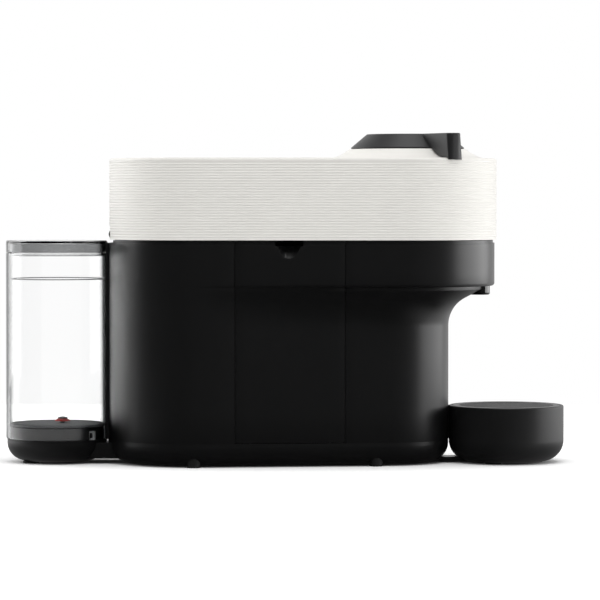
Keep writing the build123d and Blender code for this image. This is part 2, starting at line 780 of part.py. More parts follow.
with BuildPart() as frame_screws:
    for x, y in post_places:
        turned(
            x,
            y,
            [
                (0, PAN_BOTTOM + PART_GAP / 2),
                (SCREW_HEAD_R, PAN_BOTTOM + PART_GAP / 2),
                (SCREW_HEAD_R, PAN_BOTTOM + WALL / 2),
                (SCREW_R, PAN_BOTTOM + WALL / 2),
                (SCREW_R, pan_floor + SCREW_LENGTH - WALL),
                (0, pan_floor + SCREW_LENGTH - WALL),
            ],
        )
frame_screws.part.label = "frame_screws"
export_step(frame_screws.part, "parts/frame_screws.step")

with BuildPart() as motor:
    turned(
        BREW_X,
        0,
        [
            (SHAFT_R + PART_GAP, MOTOR_BOTTOM),
            (MOTOR_R - 2 * WALL, MOTOR_BOTTOM),
            (MOTOR_R - WALL, MOTOR_BOTTOM + WALL),
            (MOTOR_R, MOTOR_BOTTOM + 2 * WALL),
            (MOTOR_R, MOTOR_TOP),
            (SHAFT_R + PART_GAP, MOTOR_TOP),
        ],
    )
motor.part.label = "motor"
export_step(motor.part, "parts/motor.step")

with BuildPart() as drive_shaft:
    turned_ring(BREW_X, 0, SHAFT_R, SHAFT_BOTTOM, SHAFT_TOP)
drive_shaft.part.label = "drive_shaft"
export_step(drive_shaft.part, "parts/drive_shaft.step")

with BuildPart() as drum_bearing:
    turned_ring(BREW_X, SHAFT_R + SHAFT_FIT, BEARING_R, BEARING_BOTTOM, BEARING_BOTTOM + BEARING_HEIGHT)
drum_bearing.part.label = "drum_bearing"
export_step(drum_bearing.part, "parts/drum_bearing.step")

drum_wall = DRUM_R - DRUM_MOUTH
with BuildPart() as capsule_drum:
    turned(
        BREW_X,
        0,
        [
            (0, DRUM_FLOOR),
            (DRUM_FLOOR_R, DRUM_FLOOR),
            (DRUM_MOUTH, DRUM_TOP - 4 * drum_wall),
            (DRUM_MOUTH, DRUM_TOP),
            (DRUM_FLANGE, DRUM_TOP),
            (DRUM_FLANGE, DRUM_TOP - drum_wall),
            (DRUM_R, DRUM_TOP - drum_wall),
            (DRUM_R, DRUM_TOP - 4 * drum_wall),
            (DRUM_FLOOR_R + drum_wall, DRUM_BOTTOM),
            (2 * SHAFT_R, DRUM_BOTTOM),
            (2 * SHAFT_R, DRUM_BOTTOM - drum_wall),
            (SHAFT_R, DRUM_BOTTOM - drum_wall),
            (SHAFT_R, SHAFT_TOP),
            (0, SHAFT_TOP),
        ],
    )
    with Locations((BREW_X, 0, DRUM_TOP)):
        with PolarLocations(DRUM_FLANGE, DRUM_NOTCHES):
            Box(2 * drum_wall, drum_wall, drum_wall, mode=Mode.SUBTRACT)
capsule_drum.part.label = "capsule_drum"
export_step(capsule_drum.part, "parts/capsule_drum.step")

# Collector: an annular gutter round the drum, with a hub for the bearing
with BuildPart() as coffee_collector:
    turned(
        BREW_X,
        0,
        [
            (SHAFT_R + COLLECTOR_WALL, FRAME_TOP),
            (BEARING_R + 2 * COLLECTOR_WALL, FRAME_TOP),
            (BEARING_R + 2 * COLLECTOR_WALL, CUP_FLOOR - COLLECTOR_WALL),
            (CUP_R + COLLECTOR_WALL, CUP_FLOOR - COLLECTOR_WALL),
            (DAM_R + COLLECTOR_WALL, COLLECTOR_FLOOR),
            (COLLECTOR_R, COLLECTOR_FLOOR),
            (COLLECTOR_R, COLLECTOR_TOP),
            (COLLECTOR_R - COLLECTOR_WALL, COLLECTOR_TOP),
            (COLLECTOR_R - COLLECTOR_WALL, COLLECTOR_FLOOR + COLLECTOR_WALL),
            (DAM_R + COLLECTOR_WALL, COLLECTOR_FLOOR + COLLECTOR_WALL),
            (DAM_R + COLLECTOR_WALL, DAM_TOP),
            (DAM_R, DAM_TOP),
            (DAM_R, COLLECTOR_FLOOR + COLLECTOR_WALL),
            (CUP_R, CUP_FLOOR),
            (BEARING_R + COLLECTOR_WALL, CUP_FLOOR),
            (BEARING_R + COLLECTOR_WALL, BEARING_BOTTOM + BEARING_HEIGHT),
            (BEARING_R, BEARING_BOTTOM + BEARING_HEIGHT),
            (BEARING_R, BEARING_BOTTOM),
            (SHAFT_R + COLLECTOR_WALL, BEARING_BOTTOM),
        ],
    )
    port_start = BREW_X + COLLECTOR_R - COLLECTOR_WALL / 2
    port_end = SPOUT_X - SPOUT_R
    with Locations((port_start, 0, PORT_Z)):
        Cylinder(PORT_R, port_end - port_start, rotation=(0, 90, 0), align=from_below)
    with Locations((BREW_X + DAM_R + 2 * COLLECTOR_WALL, 0, PORT_Z)):
        Cylinder(SPOUT_BORE, SPOUT_X - BREW_X, rotation=(0, 90, 0), align=from_below, mode=Mode.SUBTRACT)
    with Locations((SPOUT_X, 0, PORT_Z)):
        Cylinder(SPOUT_R, 4 * PORT_R, mode=Mode.SUBTRACT)
coffee_collector.part.label = "coffee_collector"
export_step(coffee_collector.part, "parts/coffee_collector.step")

with BuildPart() as outlet_spout:
    with Locations((SPOUT_X, 0, SPOUT_BOTTOM)):
        Cylinder(SPOUT_R, SPOUT_TOP - SPOUT_BOTTOM, align=from_below)
    chamfer(outlet_spout.faces().sort_by(Axis.Z)[0].edges(), PART_GAP)
    with Locations((SPOUT_X, 0, SPOUT_BOTTOM)):
        Cylinder(SPOUT_BORE, PORT_Z - SPOUT_BOTTOM, align=from_below, mode=Mode.SUBTRACT)
    with Locations((port_end - WALL, 0, PORT_Z)):
        Cylinder(SPOUT_BORE, SPOUT_R + WALL, rotation=(0, 90, 0), align=from_below, mode=Mode.SUBTRACT)
outlet_spout.part.label = "outlet_spout"
export_step(outlet_spout.part, "parts/outlet_spout.step")

# Head sleeve: ribbed wall turned round both ends and drawn along both sides
def rib_wall():
    """Draw the ribbed wall's section, outwards along local X and up along local Y."""
    points = [(HEAD_R - SLEEVE_WALL, HEAD_BOTTOM), (HEAD_R, HEAD_BOTTOM)]
    first_rib = HEAD_BOTTOM + SLEEVE_LIP
    for rib in range(RIB_COUNT):
        points.append((HEAD_R, first_rib + rib * RIB_PITCH))
        points.append((HEAD_R - RIB_DEPTH, first_rib + (rib + 0.5) * RIB_PITCH))
    points.append((HEAD_R, first_rib + RIB_COUNT * RIB_PITCH))
    points.append((HEAD_R, SLEEVE_TOP))
    points.append((HEAD_R - SLEEVE_WALL, SLEEVE_TOP))
    with BuildLine() as outline:
        Polyline(*points, close=True)
    make_face(outline.edges())


side_length = BREW_X - REAR_X
near_section = Plane(origin=(BREW_X, 0, 0), x_dir=(0, -1, 0), z_dir=(-1, 0, 0))
far_section = Plane(origin=(REAR_X, 0, 0), x_dir=(0, 1, 0), z_dir=(1, 0, 0))
with BuildPart() as head_sleeve:
    for section_plane, end_x in ((near_section, BREW_X), (far_section, REAR_X)):
        with BuildSketch(section_plane):
            rib_wall()
        revolve(axis=Axis((end_x, 0, 0), (0, 0, 1)), revolution_arc=180)
        with BuildSketch(section_plane):
            rib_wall()
        extrude(amount=side_length)
    # Opening for the hinge at the back
    slot_top = HINGE_Z + HINGE_BOSS + SLEEVE_WALL
    with Locations((REAR_X - HEAD_R, 0, HEAD_BOTTOM)):
        Box(HINGE_SLOT / 2, HINGE_SLOT, 2 * (slot_top - HEAD_BOTTOM), mode=Mode.SUBTRACT)
head_sleeve.part.label = "head_sleeve"
export_step(head_sleeve.part, "parts/head_sleeve.step")

with BuildPart() as head_cover:
    with BuildSketch(Plane.XY.offset(SLEEVE_TOP)):
        waist_face(REAR_X, HEAD_R, BREW_X, HEAD_R)
    extrude(amount=HEAD_TOP - SLEEVE_TOP)
    fillet(head_cover.faces().sort_by(Axis.Z)[-1].edges(), COVER_EDGE)
    # Collar that sweeps up to the lever
    with BuildSketch(Plane(origin=(BREW_X, 0, 0), x_dir=(1, 0, 0), z_dir=(0, -1, 0))):
        with BuildLine():
            sweep_up = RadiusArc((COLLAR_FOOT, HEAD_TOP), (COLLAR_R, COLLAR_TOP), COLLAR_SWEEP)
            Polyline(
                sweep_up @ 1,
                (0, COLLAR_TOP),
                (0, SLEEVE_TOP),
                (COLLAR_FOOT, SLEEVE_TOP),
                sweep_up @ 0,
            )
        make_face()
    revolve(axis=Axis((BREW_X, 0, 0), (0, 0, 1)))
    # Hollow under the collar
    with BuildSketch(Plane(origin=(BREW_X, 0, 0), x_dir=(1, 0, 0), z_dir=(0, -1, 0))):
        with BuildLine():
            Polyline(
                (COVER_BORE + 2 * COLLAR_SKIN, SLEEVE_TOP),
                (COVER_BORE + 2 * COLLAR_SKIN, COLLAR_TOP - COLLAR_SKIN),
                (COLLAR_R - COLLAR_SKIN, COLLAR_TOP - COLLAR_SKIN),
                (COLLAR_FOOT - 2 * COLLAR_SKIN, SLEEVE_TOP),
                close=True,
            )
        make_face()
    revolve(axis=Axis((BREW_X, 0, 0), (0, 0, 1)), mode=Mode.SUBTRACT)
    with Locations((BREW_X, 0, BEZEL_FLANGE_TOP)):
        with PolarLocations(COVER_POST_RING, 4, start_angle=45):
            Cylinder(COVER_POST_R, COLLAR_TOP - COLLAR_SKIN / 2 - BEZEL_FLANGE_TOP, align=from_below)
    with Locations((BREW_X, 0, HEAD_TOP)):
        Cylinder(COVER_BORE, 4 * (COLLAR_TOP - HEAD_TOP), mode=Mode.SUBTRACT)
head_cover.part.label = "head_cover"
export_step(head_cover.part, "parts/head_cover.step")

with BuildPart() as head_liner:
    with BuildSketch(Plane.XY.offset(LINER_BOTTOM)):
        waist_face(REAR_X, LINER_R, BREW_X, LINER_R)
        with Locations((LINER_NOTCH_X, 0)):
            Rectangle(HEAD_R, HINGE_SLOT, align=(Align.MAX, Align.CENTER), mode=Mode.SUBTRACT)
        with Locations((LINER_NOTCH_X + 4 * HOSE_R, BREW_HOSE_Y)):
            Circle(HOSE_R, mode=Mode.SUBTRACT)
    extrude(amount=WALL)
    turned_ring(BREW_X, CLAMP_BEARING_R, LINER_BOSS_R, LINER_BOTTOM, LINER_BOSS_TOP)
    with Locations((BREW_X, 0, LINER_BOTTOM)):
        Cylinder(CLAMP_BEARING_R, 4 * WALL, mode=Mode.SUBTRACT)
    # Lip that stops the bearing, and the hinge knuckles
    turned_ring(BREW_X, CLAMP_NECK + WALL, CLAMP_BEARING_R, LINER_BOTTOM, CLAMP_BEARING_BOTTOM)
    for side in (-1, 1):
        with BuildSketch(Plane.XZ.offset(side * KNUCKLE_Y)):
            with BuildLine():
                Polyline(
                    (HINGE_X, HINGE_Z + HINGE_BOSS),
                    (LINER_NOTCH_X + 4 * HINGE_BOSS, HINGE_Z + HINGE_BOSS),
                    (LINER_NOTCH_X + 4 * HINGE_BOSS, LINER_BOTTOM),
                    (HINGE_X, LINER_BOTTOM),
                    close=True,
                )
            make_face()
            with Locations((HINGE_X, HINGE_Z)):
                Circle(HINGE_BOSS)
                Circle(HINGE_PIN_R + SHAFT_FIT, mode=Mode.SUBTRACT)
        extrude(amount=LUG_WIDTH / 2, both=True)
head_liner.part.label = "head_liner"
export_step(head_liner.part, "parts/head_liner.step")

# Clamp that spins on the head, with the injector through its middle
with BuildPart() as clamp_disc:
    turned(
        BREW_X,
        0,
        [
            (CLAMP_BORE, CLAMP_BOTTOM),
            (CLAMP_R, CLAMP_BOTTOM),
            (CLAMP_R, CLAMP_TOP - WALL),
            (CLAMP_R - WALL, CLAMP_TOP),
            (CLAMP_NECK - SHAFT_FIT, CLAMP_TOP),
            (CLAMP_NECK - SHAFT_FIT, CLAMP_NECK_TOP),
            (CLAMP_BORE, CLAMP_NECK_TOP),
        ],
    )
    with Locations((BREW_X, 0, CLAMP_BOTTOM - TOOTH_HEIGHT / 2)):
        with PolarLocations(TOOTH_RING, TOOTH_COUNT):
            Box(2 * TOOTH_R, TOOTH_R, TOOTH_HEIGHT)
clamp_disc.part.label = "clamp_disc"
export_step(clamp_disc.part, "parts/clamp_disc.step")

with BuildPart() as clamp_clip:
    turned_ring(
        BREW_X,
        CLAMP_NECK - SHAFT_FIT,
        CLAMP_NECK + WALL,
        CLAMP_BEARING_TOP + PART_GAP,
        CLAMP_NECK_TOP,
    )
clamp_clip.part.label = "clamp_clip"
export_step(clamp_clip.part, "parts/clamp_clip.step")

with BuildPart() as clamp_bearing:
    turned_ring(BREW_X, CLAMP_NECK, CLAMP_BEARING_R, CLAMP_BEARING_BOTTOM, CLAMP_BEARING_TOP)
clamp_bearing.part.label = "clamp_bearing"
export_step(clamp_bearing.part, "parts/clamp_bearing.step")

with BuildPart() as injector_body:
    turned(
        BREW_X,
        0,
        [
            (NEEDLE_R, INJECTOR_BOTTOM),
            (INJECTOR_R, INJECTOR_BOTTOM),
            (INJECTOR_R, LINER_BOSS_TOP),
            (LINER_BOSS_R, LINER_BOSS_TOP),
            (LINER_BOSS_R, LINER_BOSS_TOP + INJECTOR_FLANGE),
            (INJECTOR_R, LINER_BOSS_TOP + INJECTOR_FLANGE),
            (INJECTOR_R, INJECTOR_TOP),
            (0, INJECTOR_TOP),
            (0, NEEDLE_TOP),
            (NEEDLE_R, NEEDLE_TOP),
        ],
    )
injector_body.part.label = "injector_body"
export_step(injector_body.part, "parts/injector_body.step")

with BuildPart() as injector_needle:
    turned(
        BREW_X,
        0,
        [
            (0, NEEDLE_TIP),
            (NEEDLE_R / 4, NEEDLE_TIP),
            (NEEDLE_R, NEEDLE_TIP + 3 * NEEDLE_R),
            (NEEDLE_R, NEEDLE_TOP),
            (0, NEEDLE_TOP),
        ],
    )
injector_needle.part.label = "injector_needle"
export_step(injector_needle.part, "parts/injector_needle.step")

with BuildPart() as injector_seal:
    turned_ring(BREW_X, NEEDLE_R, INJECTOR_R - NEEDLE_R, INJECTOR_BOTTOM - SEAL_HEIGHT, INJECTOR_BOTTOM)
injector_seal.part.label = "injector_seal"
export_step(injector_seal.part, "parts/injector_seal.step")

# Lever: a cone with a thumb tab whose underside follows the collar and the cover's edge
with BuildPart() as lever:
    with BuildSketch(Plane(origin=(BREW_X, 0, 0), x_dir=(1, 0, 0), z_dir=(0, -1, 0))):
        with BuildLine():
            over_collar = RadiusArc(
                (COLLAR_FOOT + LEVER_CLEAR, HEAD_TOP + LEVER_CLEAR),
                (COLLAR_R + LEVER_CLEAR, COLLAR_TOP + LEVER_CLEAR),
                COLLAR_SWEEP,
            )
            Polyline(
                over_collar @ 1,
                (LEVER_CROWN - WALL, COLLAR_TOP + LEVER_CLEAR),
                (LEVER_CROWN - WALL, HEIGHT),
                (TAB_REACH, HEIGHT),
                (TAB_REACH, TAB_LIP_BOTTOM),
                (TAB_REACH - TAB_LIP, TAB_LIP_BOTTOM),
                (HEAD_R - COVER_EDGE + 1.5 * LEVER_CLEAR, HEAD_TOP + LEVER_CLEAR),
                over_collar @ 0,
            )
        make_face()
    revolve(axis=Axis((BREW_X, 0, 0), (0, 0, 1)))
    with BuildSketch(Plane(origin=(BREW_X, 0, TAB_LIP_BOTTOM)).rotated((0, 0, TAB_TURN))) as tab_plan:
        Rectangle(TAB_REACH, TAB_WIDTH, align=(Align.MIN, Align.CENTER))
        fillet(tab_plan.vertices().group_by(Axis.X)[-1], TAB_CORNER)
    extrude(amount=HEIGHT - TAB_LIP_BOTTOM, mode=Mode.INTERSECT)
    turned(
        BREW_X,
        0,
        [
            (LEVER_BORE, HEIGHT),
            (LEVER_CROWN, HEIGHT),
            (LEVER_RIM, LEVER_BOTTOM),
            (LEVER_HUB, LEVER_BOTTOM),
            (LEVER_HUB, LEVER_HUB_BOTTOM),
            (LEVER_BORE, LEVER_HUB_BOTTOM),
        ],
    )
lever.part.label = "lever"
export_step(lever.part, "parts/lever.step")

with BuildPart() as lever_retainer:
    turned_ring(BREW_X, LEVER_HUB, RETAINER_R, RETAINER_BOTTOM, RETAINER_TOP)
lever_retainer.part.label = "lever_retainer"
export_step(lever_retainer.part, "parts/lever_retainer.step")

bezel_inner = BEZEL_R - BEZEL_WALL
with BuildPart() as button_bezel:
    turned(
        BREW_X,
        0,
        [
            (BUTTON_R + PART_GAP, BEZEL_TOP),
            (LIGHT_R - LIGHT_WIDTH, BEZEL_TOP),
            (LIGHT_R - LIGHT_WIDTH, BEZEL_TOP - LIGHT_DEPTH),
            (LIGHT_R, BEZEL_TOP - LIGHT_DEPTH),
            (LIGHT_R, BEZEL_TOP),
            (BEZEL_R, BEZEL_TOP),
            (BEZEL_R, BEZEL_FLANGE_TOP),
            (BEZEL_FLANGE_R, BEZEL_FLANGE_TOP),
            (BEZEL_FLANGE_R, BEZEL_FLANGE_TOP - BEZEL_WALL),
            (bezel_inner, BEZEL_FLANGE_TOP - BEZEL_WALL),
            (bezel_inner, BEZEL_TOP - BEZEL_PLATE),
            (BUTTON_R + PART_GAP, BEZEL_TOP - BEZEL_PLATE),
        ],
    )
button_bezel.part.label = "button_bezel"
export_step(button_bezel.part, "parts/button_bezel.step")

with BuildPart() as light_ring:
    turned_ring(BREW_X, LIGHT_R - LIGHT_WIDTH, LIGHT_R, BEZEL_TOP - LIGHT_DEPTH, BEZEL_TOP)
light_ring.part.label = "light_ring"
export_step(light_ring.part, "parts/light_ring.step")

button_flange_top = BEZEL_TOP - BEZEL_PLATE - PART_GAP
with BuildPart() as start_button:
    turned(
        BREW_X,
        0,
        [
            (0, BUTTON_STEM_BOTTOM),
            (BUTTON_STEM_R, BUTTON_STEM_BOTTOM),
            (BUTTON_STEM_R, button_flange_top - BUTTON_FLANGE),
            (BUTTON_R + BUTTON_FLANGE, button_flange_top - BUTTON_FLANGE),
            (BUTTON_R + BUTTON_FLANGE, button_flange_top),
            (BUTTON_R, button_flange_top),
            (BUTTON_R, BUTTON_TOP - PART_GAP),
            (BUTTON_R - PART_GAP, BUTTON_TOP),
            (0, BUTTON_TOP),
        ],
    )
start_button.part.label = "start_button"
export_step(start_button.part, "parts/start_button.step")

with BuildPart() as button_board:
    turned_ring(BREW_X, 0, bezel_inner, BOARD_Z, BOARD_Z + BOARD_THICK)
    with Locations((BREW_X, 0, BOARD_Z)):
        Box(SWITCH_SIDE, SWITCH_SIDE, SWITCH_TOP - BOARD_Z, align=from_below)
button_board.part.label = "button_board"
export_step(button_board.part, "parts/button_board.step")

# Cup stand with its drip grid
with BuildPart() as cup_stand:
    turned_ring(STAND_X, 0, STAND_R, STAND_BOTTOM, STAND_TOP)
    fillet(cup_stand.faces().sort_by(Axis.Z)[0].edges(), STAND_EDGE)
    with Locations((STAND_X, 0, STAND_TOP)):
        Cylinder(STAND_R - STAND_RIM, 2 * GRID_THICK, mode=Mode.SUBTRACT)
    with Locations((STAND_X, 0, STAND_FLOOR)):
        Cylinder(STAND_R - STAND_RIM - GRID_LEDGE, STAND_TOP, align=from_below, mode=Mode.SUBTRACT)
    with Locations((TONGUE_END + WALL, 0, 0)):
        Box(
            STAND_R,
            TONGUE_WIDTH + WALL,
            TONGUE_TOP + PART_GAP,
            align=(Align.MAX, Align.CENTER, Align.MIN),
            mode=Mode.SUBTRACT,
        )
    # Groove for the body's rib
    with Locations((NECK_FRONT + STAND_RIB + PART_GAP, 0, STAND_BOTTOM)):
        Box(
            WALL,
            STAND_RIB_WIDTH + 2 * PART_GAP,
            STAND_TOP,
            align=(Align.MAX, Align.CENTER, Align.MIN),
            mode=Mode.SUBTRACT,
        )
cup_stand.part.label = "cup_stand"
export_step(cup_stand.part, "parts/cup_stand.step")

with BuildPart() as stand_feet:
    with Locations((STAND_X, 0, 0)):
        with PolarLocations(STAND_R - STAND_EDGE - PAD_R, 3):
            Cylinder(PAD_R, STAND_BOTTOM, align=from_below)
stand_feet.part.label = "stand_feet"
export_step(stand_feet.part, "parts/stand_feet.step")

grid_r = STAND_R - STAND_RIM - PART_GAP
with BuildPart() as drip_grid:
    with BuildSketch(Plane.XY.offset(STAND_TOP - GRID_THICK)):
        with Locations((STAND_X, 0)):
            Circle(grid_r)
        for slot in range(GRID_SLOTS):
            slot_y = (slot - (GRID_SLOTS - 1) / 2) * GRID_PITCH
            half_chord = ((grid_r - GRID_MARGIN) ** 2 - slot_y**2) ** 0.5
            with Locations((STAND_X, slot_y)):
                SlotOverall(2 * half_chord, GRID_SLOT_WIDTH, mode=Mode.SUBTRACT)
    extrude(amount=GRID_THICK)
drip_grid.part.label = "drip_grid"
export_step(drip_grid.part, "parts/drip_grid.step")

# Bulkhead and the water circuit in the rear of the body
with BuildPart() as bulkhead:
    with Locations((BULKHEAD_X, (BULKHEAD_NEAR + BULKHEAD_FAR) / 2, pan_floor)):
        Box(BULKHEAD_THICK, BULKHEAD_FAR - BULKHEAD_NEAR, BULKHEAD_TOP - pan_floor, align=from_below)
bulkhead.part.label = "bulkhead"
export_step(bulkhead.part, "parts/bulkhead.step")

bulkhead_rear = BULKHEAD_X - BULKHEAD_THICK / 2
bulkhead_front = BULKHEAD_X + BULKHEAD_THICK / 2
with BuildPart() as pump:
    turned(
        PUMP_X,
        PUMP_Y,
        [
            (0, PUMP_BOTTOM),
            (NIPPLE_R, PUMP_BOTTOM),
            (NIPPLE_R, PUMP_COIL_BOTTOM - 2 * WALL),
            (PUMP_R - 2 * WALL, PUMP_COIL_BOTTOM - 2 * WALL),
            (PUMP_R, PUMP_COIL_BOTTOM),
            (PUMP_R, PUMP_COIL_TOP),
            (PUMP_R / 2, PUMP_COIL_TOP),
            (PUMP_R / 2, PUMP_TOP - 2 * WALL),
            (NIPPLE_R, PUMP_TOP - 2 * WALL),
            (NIPPLE_R, PUMP_TOP),
            (0, PUMP_TOP),
        ],
    )
pump.part.label = "pump"
export_step(pump.part, "parts/pump.step")

with BuildPart() as pump_mounts:
    for mount_z in (PUMP_COIL_BOTTOM + MOUNT_HEIGHT, PUMP_COIL_TOP - 2 * MOUNT_HEIGHT):
        with BuildSketch(Plane.XY.offset(mount_z)):
            with Locations((PUMP_X, PUMP_Y)):
                Circle(PUMP_R + MOUNT_WALL)
                Rectangle(bulkhead_rear - PUMP_X, PUMP_R, align=(Align.MIN, Align.CENTER))
                Circle(PUMP_R, mode=Mode.SUBTRACT)
        extrude(amount=MOUNT_HEIGHT)
pump_mounts.part.label = "pump_mounts"
export_step(pump_mounts.part, "parts/pump_mounts.step")

with BuildPart() as heater:
    with Locations((bulkhead_front, 0, HEATER_BOTTOM)):
        Box(
            HEATER_THICK,
            HEATER_WIDTH,
            HEATER_TOP - HEATER_BOTTOM,
            align=(Align.MIN, Align.CENTER, Align.MIN),
        )
    fillet(heater.edges().filter_by(Axis.Z).group_by(Axis.X)[-1], HEATER_THICK / 3)
heater.part.label = "heater"
export_step(heater.part, "parts/heater.step")

with BuildPart() as flow_meter:
    with BuildSketch(Plane.XY.offset(METER_BOTTOM)):
        with Locations((METER_X, METER_Y)):
            Circle(METER_R)
            Rectangle(bulkhead_rear - METER_X, METER_R, align=(Align.MIN, Align.CENTER))
    extrude(amount=METER_TOP - METER_BOTTOM)
flow_meter.part.label = "flow_meter"
export_step(flow_meter.part, "parts/flow_meter.step")

board_mid = (BOARD_REAR + BOARD_FRONT) / 2
with BuildPart() as control_board:
    with Locations((board_mid, BULKHEAD_FAR, BOARD_BOTTOM)):
        Box(
            BOARD_FRONT - BOARD_REAR,
            BOARD_THICK,
            BOARD_TOP - BOARD_BOTTOM,
            align=(Align.CENTER, Align.MIN, Align.MIN),
        )
    chip_side = (BOARD_FRONT - BOARD_REAR) / 4
    for row in range(3):
        with Locations((BOARD_REAR + chip_side, BULKHEAD_FAR, BOARD_BOTTOM + (2 * row + 1) * chip_side)):
            Box(chip_side, chip_side / 2, chip_side, align=(Align.CENTER, Align.MAX, Align.MIN))
control_board.part.label = "control_board"
export_step(control_board.part, "parts/control_board.step")

with BuildPart() as suction_hose:
    hose(
        [
            (BODY_REAR_X - BAND_R, 0, HOSE_LOW),
            (PUMP_X - PUMP_R / 2, 0, HOSE_LOW),
            (METER_X, METER_Y, HOSE_LOW),
            (METER_X, METER_Y, METER_BOTTOM),
        ],
        HOSE_BEND,
    )
suction_hose.part.label = "suction_hose"
export_step(suction_hose.part, "parts/suction_hose.step")

meter_mid = (METER_BOTTOM + METER_TOP) / 2
feed_z = PUMP_BOTTOM - 2 * HOSE_R
with BuildPart() as feed_hose:
    hose(
        [
            (METER_X - METER_R, METER_Y, meter_mid),
            (METER_X - 2 * METER_R, METER_Y, meter_mid),
            (METER_X - 2 * METER_R, METER_Y, feed_z),
            (PUMP_X, PUMP_Y, feed_z),
            (PUMP_X, PUMP_Y, PUMP_BOTTOM),
        ],
        HOSE_BEND - 1,
    )
feed_hose.part.label = "feed_hose"
export_step(feed_hose.part, "parts/feed_hose.step")

heater_x = bulkhead_front + HEATER_THICK / 2
with BuildPart() as pressure_hose:
    hose(
        [
            (PUMP_X, PUMP_Y, PUMP_TOP),
            (PUMP_X, PUMP_Y, HOSE_HIGH),
            (heater_x, PUMP_Y, HOSE_HIGH),
            (heater_x, PUMP_Y, HEATER_TOP),
        ],
        HOSE_BEND,
    )
pressure_hose.part.label = "pressure_hose"
export_step(pressure_hose.part, "parts/pressure_hose.step")

with BuildPart() as brew_hose:
    hose(
        [
            (heater_x, BREW_HOSE_Y, HEATER_TOP),
            (heater_x, BREW_HOSE_Y, HOSE_HIGH),
            (LINER_NOTCH_X, BREW_HOSE_Y, HOSE_HIGH),
            (LINER_NOTCH_X, BREW_HOSE_Y, DECK_TOP),
        ],
        HOSE_BEND,
    )
brew_hose.part.label = "brew_hose"
export_step(brew_hose.part, "parts/brew_hose.step")

with BuildPart() as head_hose:
    hose(
        [
            (LINER_NOTCH_X + 4 * HOSE_R, BREW_HOSE_Y, LINER_BOTTOM),
            (LINER_NOTCH_X + 4 * HOSE_R, BREW_HOSE_Y, HEAD_HOSE_Z),
            (BREW_X / 2, BREW_HOSE_Y, HEAD_HOSE_Z),
            (BREW_X - 2 * INJECTOR_R, 0, HEAD_HOSE_Z),
            (BREW_X - INJECTOR_R, 0, HEAD_HOSE_Z),
        ],
        HOSE_BEND,
    )
    with Locations((BREW_X, 0, HEAD_HOSE_Z)):
        Cylinder(INJECTOR_R, 4 * HOSE_R, mode=Mode.SUBTRACT)
head_hose.part.label = "head_hose"
export_step(head_hose.part, "parts/head_hose.step")

with BuildPart() as cord_gland:
    with Locations(gland_plane):
        Cylinder(GLAND_R, 4 * WALL)
        with Locations((0, 0, WALL / 2)):
            Cylinder(GLAND_R + WALL, WALL, align=from_below)
        Cylinder(GLAND_BORE, 8 * WALL, mode=Mode.SUBTRACT)
    with Locations((BODY_REAR_X, 0, GLAND_Z)):
        Cylinder(BAND_R, 4 * GLAND_R, mode=Mode.INTERSECT)
cord_gland.part.label = "cord_gland"
export_step(cord_gland.part, "parts/cord_gland.step")
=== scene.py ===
"""Dress the pod coffee machine with fine meshes, finishes, a studio and a camera.

Sizes are in millimetres, and every mesh is made in metres in the frame's own axes.
"""

import json
import logging
from dataclasses import dataclass
from enum import Enum
from math import asin, atan, cos, hypot, pi, radians, sin, sqrt, tan
from typing import Callable, Sequence

import bmesh
import bpy
from mathutils import Matrix, Vector

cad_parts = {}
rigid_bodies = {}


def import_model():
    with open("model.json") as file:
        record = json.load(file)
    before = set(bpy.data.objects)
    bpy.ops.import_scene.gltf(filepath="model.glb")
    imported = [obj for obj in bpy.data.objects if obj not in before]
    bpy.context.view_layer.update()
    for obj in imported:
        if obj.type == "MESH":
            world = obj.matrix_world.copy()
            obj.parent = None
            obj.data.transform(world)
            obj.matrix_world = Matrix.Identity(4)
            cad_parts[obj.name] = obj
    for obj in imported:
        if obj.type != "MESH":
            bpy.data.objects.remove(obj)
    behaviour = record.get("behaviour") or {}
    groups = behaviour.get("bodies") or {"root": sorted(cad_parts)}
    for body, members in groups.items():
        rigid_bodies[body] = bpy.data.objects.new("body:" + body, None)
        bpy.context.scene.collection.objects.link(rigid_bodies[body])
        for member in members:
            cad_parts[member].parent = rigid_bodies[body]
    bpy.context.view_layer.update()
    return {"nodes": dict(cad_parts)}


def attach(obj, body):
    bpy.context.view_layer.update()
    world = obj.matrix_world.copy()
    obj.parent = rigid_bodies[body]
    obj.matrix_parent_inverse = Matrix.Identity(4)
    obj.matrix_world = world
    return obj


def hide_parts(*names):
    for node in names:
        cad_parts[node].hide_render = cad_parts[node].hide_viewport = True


for stray in list(bpy.data.objects):
    bpy.data.objects.remove(stray)
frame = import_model()
MM = 0.001
LOG = logging.getLogger("coffee_machine")

Point = tuple[float, float]
Corner = tuple[float, float, float]
Piece = bpy.types.Object
Material = bpy.types.Material
Tree = bpy.types.NodeTree
Node = bpy.types.Node
Work = bmesh.types.BMesh

# Edges that turn by more degrees than this stay sharp, on plain pieces, thin shells and ribs
CREASE = 38.0
SHELL_CREASE = 30.0
RIB_CREASE = 60.0
# Outer edges that turn by more degrees than this are rounded
ROUND_PAST = 50.0
# Points that are closer than this are one point, in a finished piece and in a turned outline
WELD = 0.002
TURNED_WELD = 0.0005
# How far two heights or places may differ and still count as one
SLACK = 0.02
# How far a cutting tool reaches past the piece that it cuts
PAST = 5.0
# Faces round a large, a middling and a small turned piece
TURNS = 160
MIDDLE_TURNS = 96
SMALL_TURNS = 64


# Node and mesh tools


def linear(code: str) -> tuple[float, float, float, float]:
    """Turn an sRGB hex code into a linear colour.

    Args:
        code: Six hex digits, with or without a hash.

    Returns:
        Red, green, blue and an alpha of 1.
    """
    code = code.lstrip("#")
    parts = [int(code[i : i + 2], 16) / 255 for i in (0, 2, 4)]
    return (*[p / 12.92 if p <= 0.04045 else ((p + 0.055) / 1.055) ** 2.4 for p in parts], 1.0)


